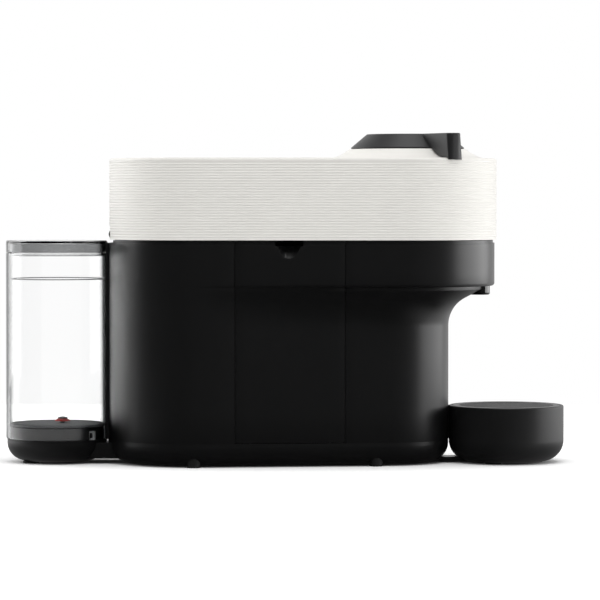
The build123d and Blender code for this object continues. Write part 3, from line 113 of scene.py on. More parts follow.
def add_node(tree: Tree, kind: str, settings: dict | None = None, links: dict | None = None) -> Node:
    """Add a node, set it and link it.

    Args:
        tree: The tree that the node goes into.
        kind: The node's type name.
        settings: Attributes, and input names or numbers, with their values, or a ramp's places and colours.
        links: Input names or numbers, each with a source node and its output.

    Returns:
        The new node.
    """
    node = tree.nodes.new(kind)
    for key, value in (settings or {}).items():
        if key == "ramp":
            for stop, (place, colour) in zip(node.color_ramp.elements, value):
                stop.position = place
                stop.color = colour
        elif isinstance(key, int) or key in node.inputs:
            node.inputs[key].default_value = value
        else:
            setattr(node, key, value)
    for key, (source, output) in (links or {}).items():
        tree.links.new(source.outputs[output], node.inputs[key])
    return node


def new_tree(name: str, sockets: dict[str, str]) -> tuple[Tree, Node]:
    """Start a Geometry Nodes tree that gives geometry.

    Args:
        name: The tree's name.
        sockets: The name of each input, with its kind.

    Returns:
        The tree and the node that gives its inputs.
    """
    tree = bpy.data.node_groups.new(name, "GeometryNodeTree")
    tree.interface.new_socket("Geometry", in_out="OUTPUT", socket_type="NodeSocketGeometry")
    for socket, kind in sockets.items():
        tree.interface.new_socket(socket, in_out="INPUT", socket_type=f"NodeSocket{kind}")
    return tree, add_node(tree, "NodeGroupInput")


def end_tree(tree: Tree, given: Node, made: Node, output: str) -> None:
    """End a tree with plain geometry in its finish.

    Args:
        tree: The tree.
        given: The node that gives its inputs, with one named Finish.
        made: The node that makes the geometry.
        output: That node's output.
    """
    real = add_node(tree, "GeometryNodeRealizeInstances", None, {"Geometry": (made, output)})
    finish = add_node(
        tree, "GeometryNodeSetMaterial", None, {"Geometry": (real, "Geometry"), "Material": (given, "Finish")}
    )
    add_node(tree, "NodeGroupOutput", None, {"Geometry": (finish, "Geometry")})


def grow(piece: Piece, name: str, tree: Tree, values: dict) -> None:
    """Put a tree on a piece with its inputs set.

    Args:
        piece: The piece.
        name: The modifier's name.
        tree: The tree.
        values: The value of each input, by name.
    """
    step = piece.modifiers.new(name, "NODES")
    step.node_group = tree
    for socket in tree.interface.items_tree:
        if socket.in_out == "INPUT" and socket.name in values:
            step[socket.identifier] = values[socket.name]


def new_material(name: str) -> tuple[Material, Tree]:
    """Start a node material.

    Args:
        name: The material's name.

    Returns:
        The material and its empty tree.
    """
    material = bpy.data.materials.new(name)
    material.use_nodes = True
    material.node_tree.nodes.clear()
    return material, material.node_tree


def end_material(tree: Tree, settings: dict, links: dict, inside: dict | None = None) -> None:
    """End a material's tree with a Principled surface.

    Args:
        tree: The tree.
        settings: The surface's settings.
        links: The surface's links.
        inside: The output's link for what fills the piece.
    """
    surface = add_node(tree, "ShaderNodeBsdfPrincipled", settings, links)
    add_node(tree, "ShaderNodeOutputMaterial", None, {"Surface": (surface, "BSDF"), **(inside or {})})


def shaded(colour: Sequence[float], share: float) -> tuple[float, float, float, float]:
    """Return a linear colour made darker or lighter.

    Args:
        colour: The colour.
        share: What its parts are multiplied by.

    Returns:
        The new colour, with no part above 1.
    """
    return (*[min(1.0, part * share) for part in colour[:3]], 1.0)


def mesh_object(name: str, mesh: bpy.types.Mesh, sharp: float = CREASE) -> Piece:
    """Link a mesh into the scene with smooth faces and sharp creases.

    Args:
        name: The object's name.
        mesh: The mesh, in metres.
        sharp: The crease angle in degrees past which an edge stays sharp.

    Returns:
        The new object.
    """
    mesh.name = name
    for face in mesh.polygons:
        face.use_smooth = True
    mesh.set_sharp_from_angle(angle=radians(sharp))
    piece = bpy.data.objects.new(name, mesh)
    bpy.context.scene.collection.objects.link(piece)
    return piece


def object_from(name: str, work: Work, sharp: float = CREASE, outward: bool = True) -> Piece:
    """Turn a working mesh in millimetres into an object in metres.

    Args:
        name: The object's name.
        work: The working mesh, which is freed.
        sharp: The crease angle in degrees.
        outward: Whether to turn every face outwards first.

    Returns:
        The new object.
    """
    bmesh.ops.remove_doubles(work, verts=work.verts, dist=WELD)
    if outward:
        bmesh.ops.recalc_face_normals(work, faces=work.faces)
    bmesh.ops.scale(work, vec=(MM, MM, MM), verts=work.verts)
    mesh = bpy.data.meshes.new(name)
    work.to_mesh(mesh)
    work.free()
    return mesh_object(name, mesh, sharp)


def settle(piece: Piece, sharp: float = CREASE) -> Piece:
    """Turn a piece's modifiers into plain mesh.

    Args:
        piece: The piece, which is replaced.
        sharp: The crease angle in degrees.

    Returns:
        A new object of the same name with no modifiers.
    """
    name = piece.name
    graph = bpy.context.evaluated_depsgraph_get()
    mesh = bpy.data.meshes.new_from_object(piece.evaluated_get(graph))
    bpy.data.objects.remove(piece)
    return mesh_object(name, mesh, sharp)


class Join(Enum):
    """How one solid piece is worked with another."""

    ADD = "UNION"
    CUT = "DIFFERENCE"


def worked(piece: Piece, tool: Piece, how: Join, sharp: float = CREASE) -> Piece:
    """Add a tool shape to a piece or cut it away.

    Args:
        piece: The solid piece.
        tool: The solid tool, which is used up.
        how: Whether the tool is added or cut away.
        sharp: The crease angle in degrees.

    Returns:
        The worked piece.
    """
    step = piece.modifiers.new("work", "BOOLEAN")
    step.operation = how.value
    step.solver = "EXACT"
    step.object = tool
    result = settle(piece, sharp)
    bpy.data.objects.remove(tool)
    return result


def walled(piece: Piece, thickness: float, clamp: float = 0.0) -> Piece:
    """Give an open skin a wall that grows inwards.

    Args:
        piece: The skin, which is replaced.
        thickness: The wall's thickness.
        clamp: How strictly short edges hold the thickness back.

    Returns:
        The closed shell.
    """
    wall = piece.modifiers.new("wall", "SOLIDIFY")
    wall.thickness = thickness * MM
    wall.offset = -1.0
    wall.thickness_clamp = clamp
    return settle(piece, SHELL_CREASE)


def softened(piece: Piece, width: float, top: float, share: float) -> Piece:
    """Round a piece's sharp outer edges, those at its top the most.

    Args:
        piece: The piece.
        width: The rounding at the top.
        top: The height of the edges that get the full rounding.
        share: The part of the rounding that the other edges get.

    Returns:
        The piece with its edges rounded.
    """
    work = bmesh.new()
    work.from_mesh(piece.data)
    weight = work.edges.layers.float.new("bevel_weight_edge")
    for edge in work.edges:
        if len(edge.link_faces) == 2 and edge.is_convex and edge.calc_face_angle() > radians(ROUND_PAST):
            level = all(abs(vert.co.z - top * MM) < SLACK * MM for vert in edge.verts)
            edge[weight] = 1.0 if level else share
    work.to_mesh(piece.data)
    work.free()
    edge_round = piece.modifiers.new("edge", "BEVEL")
    edge_round.width = width * MM
    edge_round.segments = 3
    edge_round.limit_method = "WEIGHT"
    edge_round.use_clamp_overlap = True
    return settle(piece, SHELL_CREASE)


def soft_corners(outline: Sequence[Corner], steps: int = 5, closed: bool = True) -> list[Point]:
    """Round the corners of an outline.

    Args:
        outline: Points with the radius that each corner is rounded to.
        steps: The pieces that each rounding is drawn with.
        closed: Whether the last point joins the first.

    Returns:
        The rounded outline.
    """
    result: list[Point] = []
    count = len(outline)
    for i, (x, y, radius) in enumerate(outline):
        if radius <= 0 or (not closed and i in (0, count - 1)):
            result.append((x, y))
            continue
        here = Vector((x, y))
        back = (Vector(outline[i - 1][:2]) - here).normalized()
        ahead = (Vector(outline[(i + 1) % count][:2]) - here).normalized()
        half = back.angle(ahead) / 2
        middle = (back + ahead).normalized()
        centre = here + middle * (radius / sin(half))
        start = here + back * (radius / tan(half)) - centre
        end = here + ahead * (radius / tan(half)) - centre
        turn = start.angle_signed(end)
        for step in range(steps + 1):
            spoke = Matrix.Rotation(-turn * step / steps, 2) @ start
            result.append((centre.x + spoke.x, centre.y + spoke.y))
    return result


def arc_between(start: Point, end: Point, radius: float, steps: int) -> list[Point]:
    """Draw an arc that bulges to the right of the way from start to end.

    Args:
        start: The first point.
        end: The last point.
        radius: The arc's radius.
        steps: The pieces that it is drawn with.

    Returns:
        The arc's points, both ends included.
    """
    a, b = Vector(start), Vector(end)
    along = b - a
    side = Vector((-along.y, along.x)).normalized()
    centre = (a + b) / 2 + side * sqrt(radius**2 - (along.length / 2) ** 2)
    turn = (a - centre).angle_signed(b - centre)
    points = []
    for step in range(steps + 1):
        spoke = Matrix.Rotation(-turn * step / steps, 2) @ (a - centre)
        points.append((centre.x + spoke.x, centre.y + spoke.y))
    return points


def fill_rows(
    work: Work, rows: Sequence[list], closed: bool = True, gap: Callable[[Vector, Vector], bool] | None = None
) -> None:
    """Fill the faces between rows of points.

    Args:
        work: The working mesh.
        rows: Rows of equally many points, from the lowest.
        closed: Whether each row's last point joins its first.
        gap: Tells from the lower two corners of a face whether it is left out.
    """
    count = len(rows[0])
    for below, above in zip(rows, rows[1:]):
        for i in range(count if closed else count - 1):
            j = (i + 1) % count
            if gap is None or not gap(below[i].co, below[j].co):
                work.faces.new((below[i], below[j], above[j], above[i]))


def turned(outline: Sequence[Point], x: float, turns: int = TURNS, closed: bool = True) -> Work:
    """Turn an outline of radius and height about an upright axis over the long axis.

    Args:
        outline: Radius and height pairs.
        x: The axis's place along X.
        turns: The number of faces round the axis.
        closed: Whether the outline's last point joins its first.

    Returns:
        A working mesh in millimetres.
    """
    work = bmesh.new()
    rings = []
    for radius, height in outline:
        ring = []
        for step in range(turns):
            angle = 2 * pi * step / turns
            ring.append(work.verts.new((x + radius * cos(angle), radius * sin(angle), height)))
        rings.append(ring)
    fill_rows(work, rings + rings[:1] if closed else rings)
    bmesh.ops.remove_doubles(work, verts=work.verts, dist=TURNED_WELD)
    bmesh.ops.dissolve_degenerate(work, edges=work.edges, dist=TURNED_WELD)
    return work


def held_flat(outline: Sequence[Point], reach: float = 0.6) -> list[Point]:
    """Add points close to the ends of long runs, so that rounded ends leave the runs' shading flat.

    Args:
        outline: A closed outline.
        reach: How far from an end a point is added.

    Returns:
        The outline with the points added.
    """
    result: list[Point] = []
    for i, point in enumerate(outline):
        result.append(point)
        here, ahead = Vector(point), Vector(outline[(i + 1) % len(outline)])
        run = ahead - here
        if run.length > 4 * reach:
            step = run.normalized() * reach
            result += [tuple(here + step), tuple(ahead - step)]
    return result


def turned_piece(name: str, corners: Sequence[Corner], x: float, turns: int = TURNS) -> Piece:
    """Turn an outline with rounded corners into a solid piece.

    Args:
        name: The piece's name.
        corners: Radius, height and corner rounding.
        x: The axis's place along X.
        turns: The number of faces round the axis.

    Returns:
        The new piece.
    """
    return object_from(name, turned(held_flat(soft_corners(corners)), x, turns))


def block(name: str, low: Sequence[float], high: Sequence[float], soft: float = 0.0) -> Piece:
    """Make a block with softened edges, as a tool or a small part.

    Args:
        name: The block's name.
        low: Its lowest corner.
        high: Its highest corner.
        soft: The edge rounding.

    Returns:
        The new block.
    """
    work = bmesh.new()
    bmesh.ops.create_cube(work, size=1.0)
    size = [h - l for l, h in zip(low, high)]
    bmesh.ops.scale(work, vec=size, verts=work.verts)
    bmesh.ops.translate(work, vec=[(h + l) / 2 for l, h in zip(low, high)], verts=work.verts)
    if soft:
        bmesh.ops.bevel(work, geom=work.edges, offset=soft, segments=3, profile=0.5, affect="EDGES")
    return object_from(name, work)


def rod(name: str, radius: float, start: Sequence[float], end: Sequence[float]) -> Piece:
    """Make a straight rod between two points, as a tool.

    Args:
        name: The rod's name.
        radius: Its radius.
        start: The middle of one end.
        end: The middle of the other end.

    Returns:
        The new rod.
    """
    along = Vector(end) - Vector(start)
    middle = (Vector(start) + Vector(end)) / 2
    place = Matrix.Translation(middle) @ along.to_track_quat("Z", "Y").to_matrix().to_4x4()
    work = bmesh.new()
    bmesh.ops.create_cone(
        work,
        cap_ends=True,
        segments=SMALL_TURNS,
        radius1=radius,
        radius2=radius,
        depth=along.length,
        matrix=place,
    )
    return object_from(name, work)


# Finishes


@dataclass(frozen=True)
class MouldedPlastic:
    """Injection-moulded plastic with a fine eroded grain from its mould.

    The grain breaks the highlights softly, and slow clouds of shine show where it was handled.
    """

    name: str
    colour: str
    roughness: float
    grain_mm: float = 0.5
    grain_height_mm: float = 0.006
    cloud: float = 0.03
    cloud_mm: float = 45.0
    ior: float = 1.53

    def material(self) -> Material:
        """Return the node material."""
        material, tree = new_material(self.name)
        place = add_node(tree, "ShaderNodeTexCoord")
        grain = add_node(
            tree,
            "ShaderNodeTexNoise",
            {"Scale": 1 / (self.grain_mm * MM), "Detail": 2.0, "Roughness": 0.6},
            {"Vector": (place, "Object")},
        )
        clouds = add_node(
            tree,
            "ShaderNodeTexNoise",
            {"Scale": 1 / (self.cloud_mm * MM), "Detail": 3.0},
            {"Vector": (place, "Object")},
        )
        base = linear(self.colour)
        ramp = ((0.3, shaded(base, 1 - 2 * self.cloud)), (0.7, base))
        tint = add_node(tree, "ShaderNodeValToRGB", {"ramp": ramp}, {"Fac": (clouds, "Fac")})
        shine = add_node(
            tree,
            "ShaderNodeMapRange",
            {"To Min": self.roughness - self.cloud, "To Max": self.roughness + self.cloud},
            {"Value": (clouds, "Fac")},
        )
        bump = add_node(
            tree,
            "ShaderNodeBump",
            {"Strength": 0.6, "Distance": self.grain_height_mm * MM},
            {"Height": (grain, "Fac")},
        )
        links = {"Base Color": (tint, "Color"), "Roughness": (shine, "Result"), "Normal": (bump, "Normal")}
        end_material(tree, {"IOR": self.ior}, links)
        return material


@dataclass(frozen=True)
class ClearPlastic:
    """Clear plastic from a polished mould, with painted shade where its wall is seen edge on.

    The painted edge shade's colour, rim, comes in as the facing goes from its start value to its end value,
    and tip keeps it away from a view from above.
    """

    name: str
    colour: str
    density: float
    roughness: float = 0.02
    ior: float = 1.52
    # The painted edge shade: its colour, where it comes in, and how far it is kept from a view from above
    rim: str = "#FFFFFF"
    edge_shade_start: float = 0.5
    edge_shade_end: float = 0.69
    tip: float = 0.6
    wave_mm: float = 30.0

    def material(self) -> Material:
        """Return the node material."""
        material, tree = new_material(self.name)
        place = add_node(tree, "ShaderNodeTexCoord")
        # A faint waviness of the moulded wall, a few centimetres long
        wave = add_node(
            tree,
            "ShaderNodeTexNoise",
            {"Scale": 1 / (self.wave_mm * MM), "Detail": 1.0},
            {"Vector": (place, "Object")},
        )
        bump = add_node(
            tree, "ShaderNodeBump", {"Strength": 0.25, "Distance": 0.02 * MM}, {"Height": (wave, "Fac")}
        )
        # Painted shade: the wall's colour darkens where it is seen edge on from the side, and stays clear
        # from above
        skin = add_node(tree, "ShaderNodeNewGeometry")
        tipped = add_node(
            tree, "ShaderNodeVectorMath", {"operation": "ADD", 1: (0.0, 0.0, self.tip)}, {0: (skin, "Normal")}
        )
        slant = add_node(tree, "ShaderNodeLayerWeight", {"Blend": 0.5}, {"Normal": (tipped, "Vector")})
        ramp = ((self.edge_shade_start, linear("#FFFFFF")), (self.edge_shade_end, linear(self.rim)))
        painted_edge_shade = add_node(tree, "ShaderNodeValToRGB", {"ramp": ramp}, {"Fac": (slant, "Facing")})
        tint = add_node(
            tree, "ShaderNodeVolumeAbsorption", {"Color": linear(self.colour), "Density": self.density}
        )
        end_material(
            tree,
            {"Roughness": self.roughness, "IOR": self.ior, "Transmission Weight": 1.0},
            {"Base Color": (painted_edge_shade, "Color"), "Normal": (bump, "Normal")},
            {"Volume": (tint, "Volume")},
        )
        return material


@dataclass(frozen=True)
class Rubber:
    """Moulded silicone rubber, dull, with a dusty unevenness."""

    name: str
    colour: str
    roughness: float = 0.62
    soft: float = 0.0
    dust_mm: float = 2.5
    depth_mm: float = 1.5
    ior: float = 1.43

    def material(self) -> Material:
        """Return the node material."""
        material, tree = new_material(self.name)
        place = add_node(tree, "ShaderNodeTexCoord")
        dust = add_node(
            tree,
            "ShaderNodeTexNoise",
            {"Scale": 1 / (self.dust_mm * MM), "Detail": 4.0},
            {"Vector": (place, "Object")},
        )
        base = linear(self.colour)
        ramp = ((0.0, shaded(base, 0.85)), (1.0, shaded(base, 1.1)))
        tint = add_node(tree, "ShaderNodeValToRGB", {"ramp": ramp}, {"Fac": (dust, "Fac")})
        bump = add_node(
            tree, "ShaderNodeBump", {"Strength": 0.5, "Distance": 0.02 * MM}, {"Height": (dust, "Fac")}
        )
        look = {
            "Roughness": self.roughness,
            "IOR": self.ior,
            "Subsurface Weight": self.soft,
            "Subsurface Scale": self.depth_mm * MM,
        }
        end_material(tree, look, {"Base Color": (tint, "Color"), "Normal": (bump, "Normal")})
        return material


class Working(Enum):
    """How a metal surface was made."""

    TURNED = "turned"
    CAST = "cast"
    DRAWN = "drawn"


@dataclass(frozen=True)
class BareMetal:
    """Bare metal with the marks of its making."""

    name: str
    colour: str
    roughness: float
    working: Working

    def material(self) -> Material:
        """Return the node material."""
        material, tree = new_material(self.name)
        place = add_node(tree, "ShaderNodeTexCoord")
        # Tool marks about 0.4 mm apart, skin of a casting about 1.2 mm, draw lines along the can
        stretch = {
            Working.TURNED: (1 / (8 * MM), 1 / (8 * MM), 1 / (0.4 * MM)),
            Working.CAST: (1 / (1.2 * MM), 1 / (1.2 * MM), 1 / (1.2 * MM)),
            Working.DRAWN: (1 / (0.5 * MM), 1 / (0.5 * MM), 1 / (30 * MM)),
        }[self.working]
        mapping = add_node(tree, "ShaderNodeMapping", {"Scale": stretch}, {"Vector": (place, "Object")})
        marks = add_node(
            tree, "ShaderNodeTexNoise", {"Scale": 1.0, "Detail": 3.0}, {"Vector": (mapping, "Vector")}
        )
        base = linear(self.colour)
        ramp = ((0.0, shaded(base, 0.82)), (1.0, base))
        tint = add_node(tree, "ShaderNodeValToRGB", {"ramp": ramp}, {"Fac": (marks, "Fac")})
        shine = add_node(
            tree,
            "ShaderNodeMapRange",
            {"To Min": self.roughness - 0.06, "To Max": self.roughness + 0.08},
            {"Value": (marks, "Fac")},
        )
        bump = add_node(
            tree, "ShaderNodeBump", {"Strength": 0.4, "Distance": 0.02 * MM}, {"Height": (marks, "Fac")}
        )
        links = {"Base Color": (tint, "Color"), "Roughness": (shine, "Result"), "Normal": (bump, "Normal")}
        end_material(tree, {"Metallic": 1.0}, links)
        return material


@dataclass(frozen=True)
class CircuitBoard:
    """Lacquered board whose copper tracks show as lighter lines."""

    name: str
    mask: str
    track: str

    def material(self) -> Material:
        """Return the node material."""
        material, tree = new_material(self.name)
        place = add_node(tree, "ShaderNodeTexCoord")
        # Tracks 0.6 mm wide on a pitch of about 4 mm
        tracks = add_node(
            tree,
            "ShaderNodeTexBrick",
            {
                "Scale": 1 / (10 * MM),
                "Mortar Size": 0.03,
                "Brick Width": 0.9,
                "Row Height": 0.4,
                "Color1": linear(self.mask),
                "Color2": linear(self.mask),
                "Mortar": linear(self.track),
            },
            {"Vector": (place, "Object")},
        )
        end_material(tree, {"Roughness": 0.35}, {"Base Color": (tracks, "Color")})
        return material


@dataclass(frozen=True)
class LightGuide:
    """Milky acrylic that spreads the light of the lamp below it."""

    name: str
    colour: str
    haze_mm: float = 1.5
    depth_mm: float = 2.0

    def material(self) -> Material:
        """Return the node material."""
        material, tree = new_material(self.name)
        place = add_node(tree, "ShaderNodeTexCoord")
        haze = add_node(
            tree,
            "ShaderNodeTexNoise",
            {"Scale": 1 / (self.haze_mm * MM), "Detail": 2.0},
            {"Vector": (place, "Object")},
        )
        base = linear(self.colour)
        ramp = ((0.0, shaded(base, 0.92)), (1.0, base))
        tint = add_node(tree, "ShaderNodeValToRGB", {"ramp": ramp}, {"Fac": (haze, "Fac")})
        look = {"Roughness": 0.3, "Subsurface Weight": 0.5, "Subsurface Scale": self.depth_mm * MM}
        end_material(tree, look, {"Base Color": (tint, "Color")})
        return material


@dataclass(frozen=True)
class Palette:
    """Every finish of the machine, as a ready material."""

    white: Material
    black: Material
    stand_black: Material
    gloss: Material
    charcoal: Material
    inner: Material
    clear: Material
    smoked: Material
    tinted: Material
    pale: Material
    guide: Material
    rubber: Material
    red: Material
    hose: Material
    board: Material
    steel: Material
    can: Material
    casting: Material

    @classmethod
    def mixed(cls) -> "Palette":
        """Return the palette with every material made once."""
        return cls(
            # Warm white with an even, soft shine
            white=MouldedPlastic("white_abs_moulded", "#EDEBE6", 0.48, cloud=0.01).material(),
            # Deep black with broad, soft highlights
            black=MouldedPlastic("black_abs_satin", "#111112", 0.36, grain_height_mm=0.004).material(),
            # Black that is a little duller, so that the stand looks like a moulding of its own
            stand_black=MouldedPlastic("black_abs_matt", "#151516", 0.42).material(),
            # Black like a mirror, with small, sharp highlights
            gloss=MouldedPlastic("black_abs_polished", "#0A0A0B", 0.08, grain_height_mm=0.0005).material(),
            # Dark grey that hardly shines
            charcoal=MouldedPlastic("charcoal_abs_matt", "#1E1E1F", 0.46, grain_mm=0.7).material(),
            # Plain grey, for what the shell hides
            inner=MouldedPlastic("grey_polypropylene", "#4A4B4D", 0.5, grain_mm=0.8).material(),
            # Nearly colourless with painted dark edges, and a low IOR that bends the view as a thin wall does
            clear=ClearPlastic("clear_san", "#C9D0D2", 10.0, ior=1.28, rim="#262829").material(),
            # Grey that lets a little light through
            smoked=ClearPlastic("smoked_san", "#6E7274", 175.0, 0.05).material(),
            # Dull dark grey, as a clear floor looks over a black dock
            tinted=MouldedPlastic("grey_san_floor", "#4C4E50", 0.65).material(),
            # Light grey that stands out on black
            pale=MouldedPlastic("pale_grey_abs", "#8C8D8F", 0.5).material(),
            # Milky white with light a little way into it
            guide=LightGuide("milky_acrylic", "#E6ECE8").material(),
            # Dusty black that swallows highlights
            rubber=Rubber("black_silicone", "#1B1B1B").material(),
            # Red with a soft sheen, the one bright spot
            red=Rubber("red_silicone", "#A8231A", 0.45, 0.1).material(),
            # Cloudy white with soft shadows
            hose=Rubber("milky_silicone", "#D8D8D2", 0.4, 0.4).material(),
            # Green lacquer with lighter tracks
            board=CircuitBoard("lacquered_board", "#0E4A2A", "#2E7A46").material(),
            # Bright metal with fine rings from the lathe
            steel=BareMetal("turned_steel", "#C4C5C6", 0.26, Working.TURNED).material(),
            # Greyer metal with long draw lines
            can=BareMetal("drawn_steel_can", "#A9ABAD", 0.34, Working.DRAWN).material(),
            # Pale metal with an even grain
            casting=BareMetal("cast_aluminium", "#B9BABB", 0.48, Working.CAST).material(),
        )


def place_piece(piece: Piece, material: Material, body: str, slot: str, *nodes: str) -> None:
    """Give a piece its finish, its body and the solids that it stands for.

    Args:
        piece: The finished piece.
        material: Its finish.
        body: The body that it moves with.
        slot: The record's material slot, which is not used.
        nodes: The solids that it stands for.
    """
    piece.data.materials.clear()
    piece.data.materials.append(material)
    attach(piece, body)
    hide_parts(*nodes)
    LOG.info("%s on %s, %d faces", piece.name, body, len(piece.data.polygons))


def dress_solids(material: Material, *nodes: str) -> None:
    """Give solids of the frame a finish.

    Args:
        material: The finish.
        nodes: The solids' names.
    """
    for node in nodes:
        solid = frame["nodes"][node]
        solid.data.materials.clear()
        solid.data.materials.append(material)


# Shared plan


@dataclass(frozen=True)
class MachinePlan:
    """The plan that body and head share: two round ends on the long axis, and the spout."""

    rear_x: float = -66.0
    brew_x: float = 93.5
    head_r: float = 68.0
    band_r: float = 66.4
    neck_r: float = 50.0
    neck_x: float = 74.85
    neck_front: float = 124.85
    spout_x: float = 148.5
    spout_r: float = 8.0

    def lean(self, rear_r: float, nose_r: float, nose_x: float) -> float:
        """Return the angle between a straight side and the long axis, in radians."""
        return asin((rear_r - nose_r) / (nose_x - self.rear_x))

    def half_width(self, x: float, rear_r: float, nose_r: float, nose_x: float) -> float:
        """Return how far a side is from the long axis at x."""
        lean = self.lean(rear_r, nose_r, nose_x)
        if x < self.rear_x + rear_r * sin(lean):
            return sqrt(rear_r**2 - (x - self.rear_x) ** 2)
        return (rear_r - (x - self.rear_x) * sin(lean)) / cos(lean)

    def ring(
        self,
        rear_r: float,
        nose_r: float,
        nose_x: float,
        marks: Sequence[float] = (),
        arc: int = 64,
        run: int = 8,
    ) -> list[Point]:
        """Draw the plan once round, from the far side by way of the rear.

        Args:
            rear_r: The rear end's radius.
            nose_r: The front end's radius.
            nose_x: The front end's centre.
            marks: Places along X where each side has a point.
            arc: The pieces of each round end.
            run: The pieces of each side in front of the last mark.

        Returns:
            The plan's points, counter-clockwise.
        """
        lean = self.lean(rear_r, nose_r, nose_x)
        points = []
        for step in range(arc + 1):
            angle = pi / 2 + pi * step / arc
            points.append((self.rear_x + rear_r * cos(angle), rear_r * sin(angle)))
        last = marks[-1] if marks else self.rear_x
        tangent = nose_x + nose_r * sin(lean)
        stations = list(marks) + [last + (tangent - last) * (k + 1) / run for k in range(run)]
        sides = [(x, self.half_width(x, rear_r, nose_r, nose_x)) for x in stations]
        points += [(x, -y) for x, y in sides]
        for step in range(1, arc):
            angle = (lean - pi / 2) + (pi - 2 * lean) * step / arc
            points.append((nose_x + nose_r * cos(angle), nose_r * sin(angle)))
        points += [(x, y) for x, y in reversed(sides)]
        return points

    def flared(self, reach: float) -> tuple[float, float, float]:
        """Return rear radius, nose radius and nose centre where the front has come forward by reach."""
        share = reach / (self.brew_x + self.band_r - self.neck_front)
        return (
            self.band_r,
            self.neck_r + share * (self.band_r - self.neck_r),
            self.neck_x + share * (self.brew_x - self.neck_x),
        )


PLAN = MachinePlan()
BODY_PLAN = MachinePlan(rear_x=-68.6)


# Sub-assemblies


@dataclass
class Body:
    """Black body: the waisted shell that flares under the head, and the bin's panel."""

    pan_top: float = 18.0
    cove_bottom: float = 104.7
    cove_r: float = 23.4
    cove_turn: float = 62.0
    cove_reach: float = 25.2
    band_bottom: float = 134.9
    band_edge: float = 2.2
    top: float = 167.5
    rim_top: float = 169.6
    rim_step: float = 1.2
    rim_rear: float = -129.5
    wall: float = 2.4
    soft: float = 0.35
    top_soft: float = 0.9
    panel_rear: float = -36.8
    panel_front: float = 45.0
    seam: float = 0.4
    scoop_x: float = 3.5
    scoop_r: float = 8.4
    scoop_bottom: float = 156.3
    scoop_reach: float = 15.0
    pocket_wall: float = 2.5
    pocket_depth: float = 11.0
    pocket_soft: float = 0.8
    slot_width: float = 20.8
    slot_height: float = 2.0
    spout_gap: float = 0.3
    spout_reach: tuple[float, float] = (-20.0, 8.0)
    guide_x: tuple[float, float] = (-136.2, -132.6)
    guide_y: float = 12.0
    guide_width: float = 2.0
    guide_bottom: float = 18.3
    guide_gap: float = 0.3
    rib_x: tuple[float, float] = (123.15, 125.65)
    rib_half: float = 3.0
    rib_top: float = 43.5
    rib_gap: float = 0.2
    # Heights of extra rows in the neck and in the band, and the pieces that its curves are drawn with
    neck_rows: tuple[float, ...] = (40.0, 62.0, 84.0)
    band_rows: tuple[float, ...] = (145.0, 156.0)
    top_row: float = 3.0
    cove_steps: int = 14
    slope_steps: int = 4
    edge_steps: int = 6
    panel_steps: int = 12
    # Places along X where the sides have points, and the Y that the near side lies beyond
    rear_marks: tuple[float, ...] = (-58.0, -50.0)
    panel_marks: tuple[float, ...] = (-20.0, 0.0, 20.0)
    front_marks: tuple[float, ...] = (52.0,)
    near_side: float = -30.0

    def levels(self, bottom: float) -> list[tuple[float, float, float, float]]:
        """List the plan at each height, from the pan's edge to the top.

        Args:
            bottom: The lowest height.

        Returns:
            Height, rear radius, nose radius and nose centre of each level.
        """
        plan = BODY_PLAN
        levels = [(z, *plan.flared(0)) for z in (bottom, *self.neck_rows, self.cove_bottom)]
        for step in range(1, self.cove_steps + 1):
            turn = radians(self.cove_turn) * step / self.cove_steps
            reach = self.cove_r * (1 - cos(turn))
            levels.append((self.cove_bottom + self.cove_r * sin(turn), *plan.flared(reach)))
        low = levels[-1][0]
        reach = self.cove_r * (1 - cos(radians(self.cove_turn)))
        rise = (self.cove_reach - reach) / tan(radians(self.cove_turn))
        for step in range(1, self.slope_steps + 1):
            share = step / self.slope_steps
            levels.append((low + rise * share, *plan.flared(reach + (self.cove_reach - reach) * share)))
        levels.append((self.band_bottom, *plan.flared(self.cove_reach)))
        for step in range(self.edge_steps + 1):
            turn = radians(90) * step / self.edge_steps
            height = self.band_bottom + self.band_edge * (1 - cos(turn))
            nose_r = plan.band_r - self.band_edge * (1 - sin(turn))
            levels.append((height, plan.band_r, nose_r, plan.brew_x))
        for height in (*self.band_rows, self.top - self.top_row, self.top):
            levels.append((height, plan.band_r, plan.band_r, plan.brew_x))
        rim = plan.band_r - self.rim_step
        levels += [(self.top, rim, rim, plan.brew_x), (self.rim_top, rim, rim, plan.brew_x)]
        return levels

    def left_open(self, a: Vector, b: Vector) -> bool:
        """Tell whether a face of the shell is left out, for the panel or at the rim's rear.

        Args:
            a: One of the face's lower corners.
            b: The other one.

        Returns:
            Whether the face is left out.
        """
        middle = (a.x + b.x) / 2
        beside = self.panel_rear - self.seam < middle < self.panel_front + self.seam
        if beside and a.y < self.near_side and b.y < self.near_side:
            return True
        return a.z > self.top - SLACK and middle < self.rim_rear

    def build_shell(self) -> Piece:
        """Return the fixed shell with its opening for the panel."""
        low, high = self.panel_rear - self.seam, self.panel_front + self.seam
        marks = [*self.rear_marks, low, *self.panel_marks, high, *self.front_marks]
        work = bmesh.new()
        rows = []
        for z, rear_r, nose_r, nose_x in self.levels(self.pan_top):
            ring = BODY_PLAN.ring(rear_r, nose_r, nose_x, marks)
            rows.append([work.verts.new((x, y, z)) for x, y in ring])
        fill_rows(work, rows, gap=self.left_open)
        shell = walled(object_from("body_skin", work, SHELL_CREASE, outward=False), self.wall, clamp=1.0)
        # The spout comes out through the underside of the band
        hole = rod(
            "spout_hole",
            PLAN.spout_r + self.spout_gap,
            (PLAN.spout_x, 0, self.band_bottom + self.spout_reach[0]),
            (PLAN.spout_x, 0, self.band_bottom + self.spout_reach[1]),
        )
        shell = worked(shell, hole, Join.CUT, SHELL_CREASE)
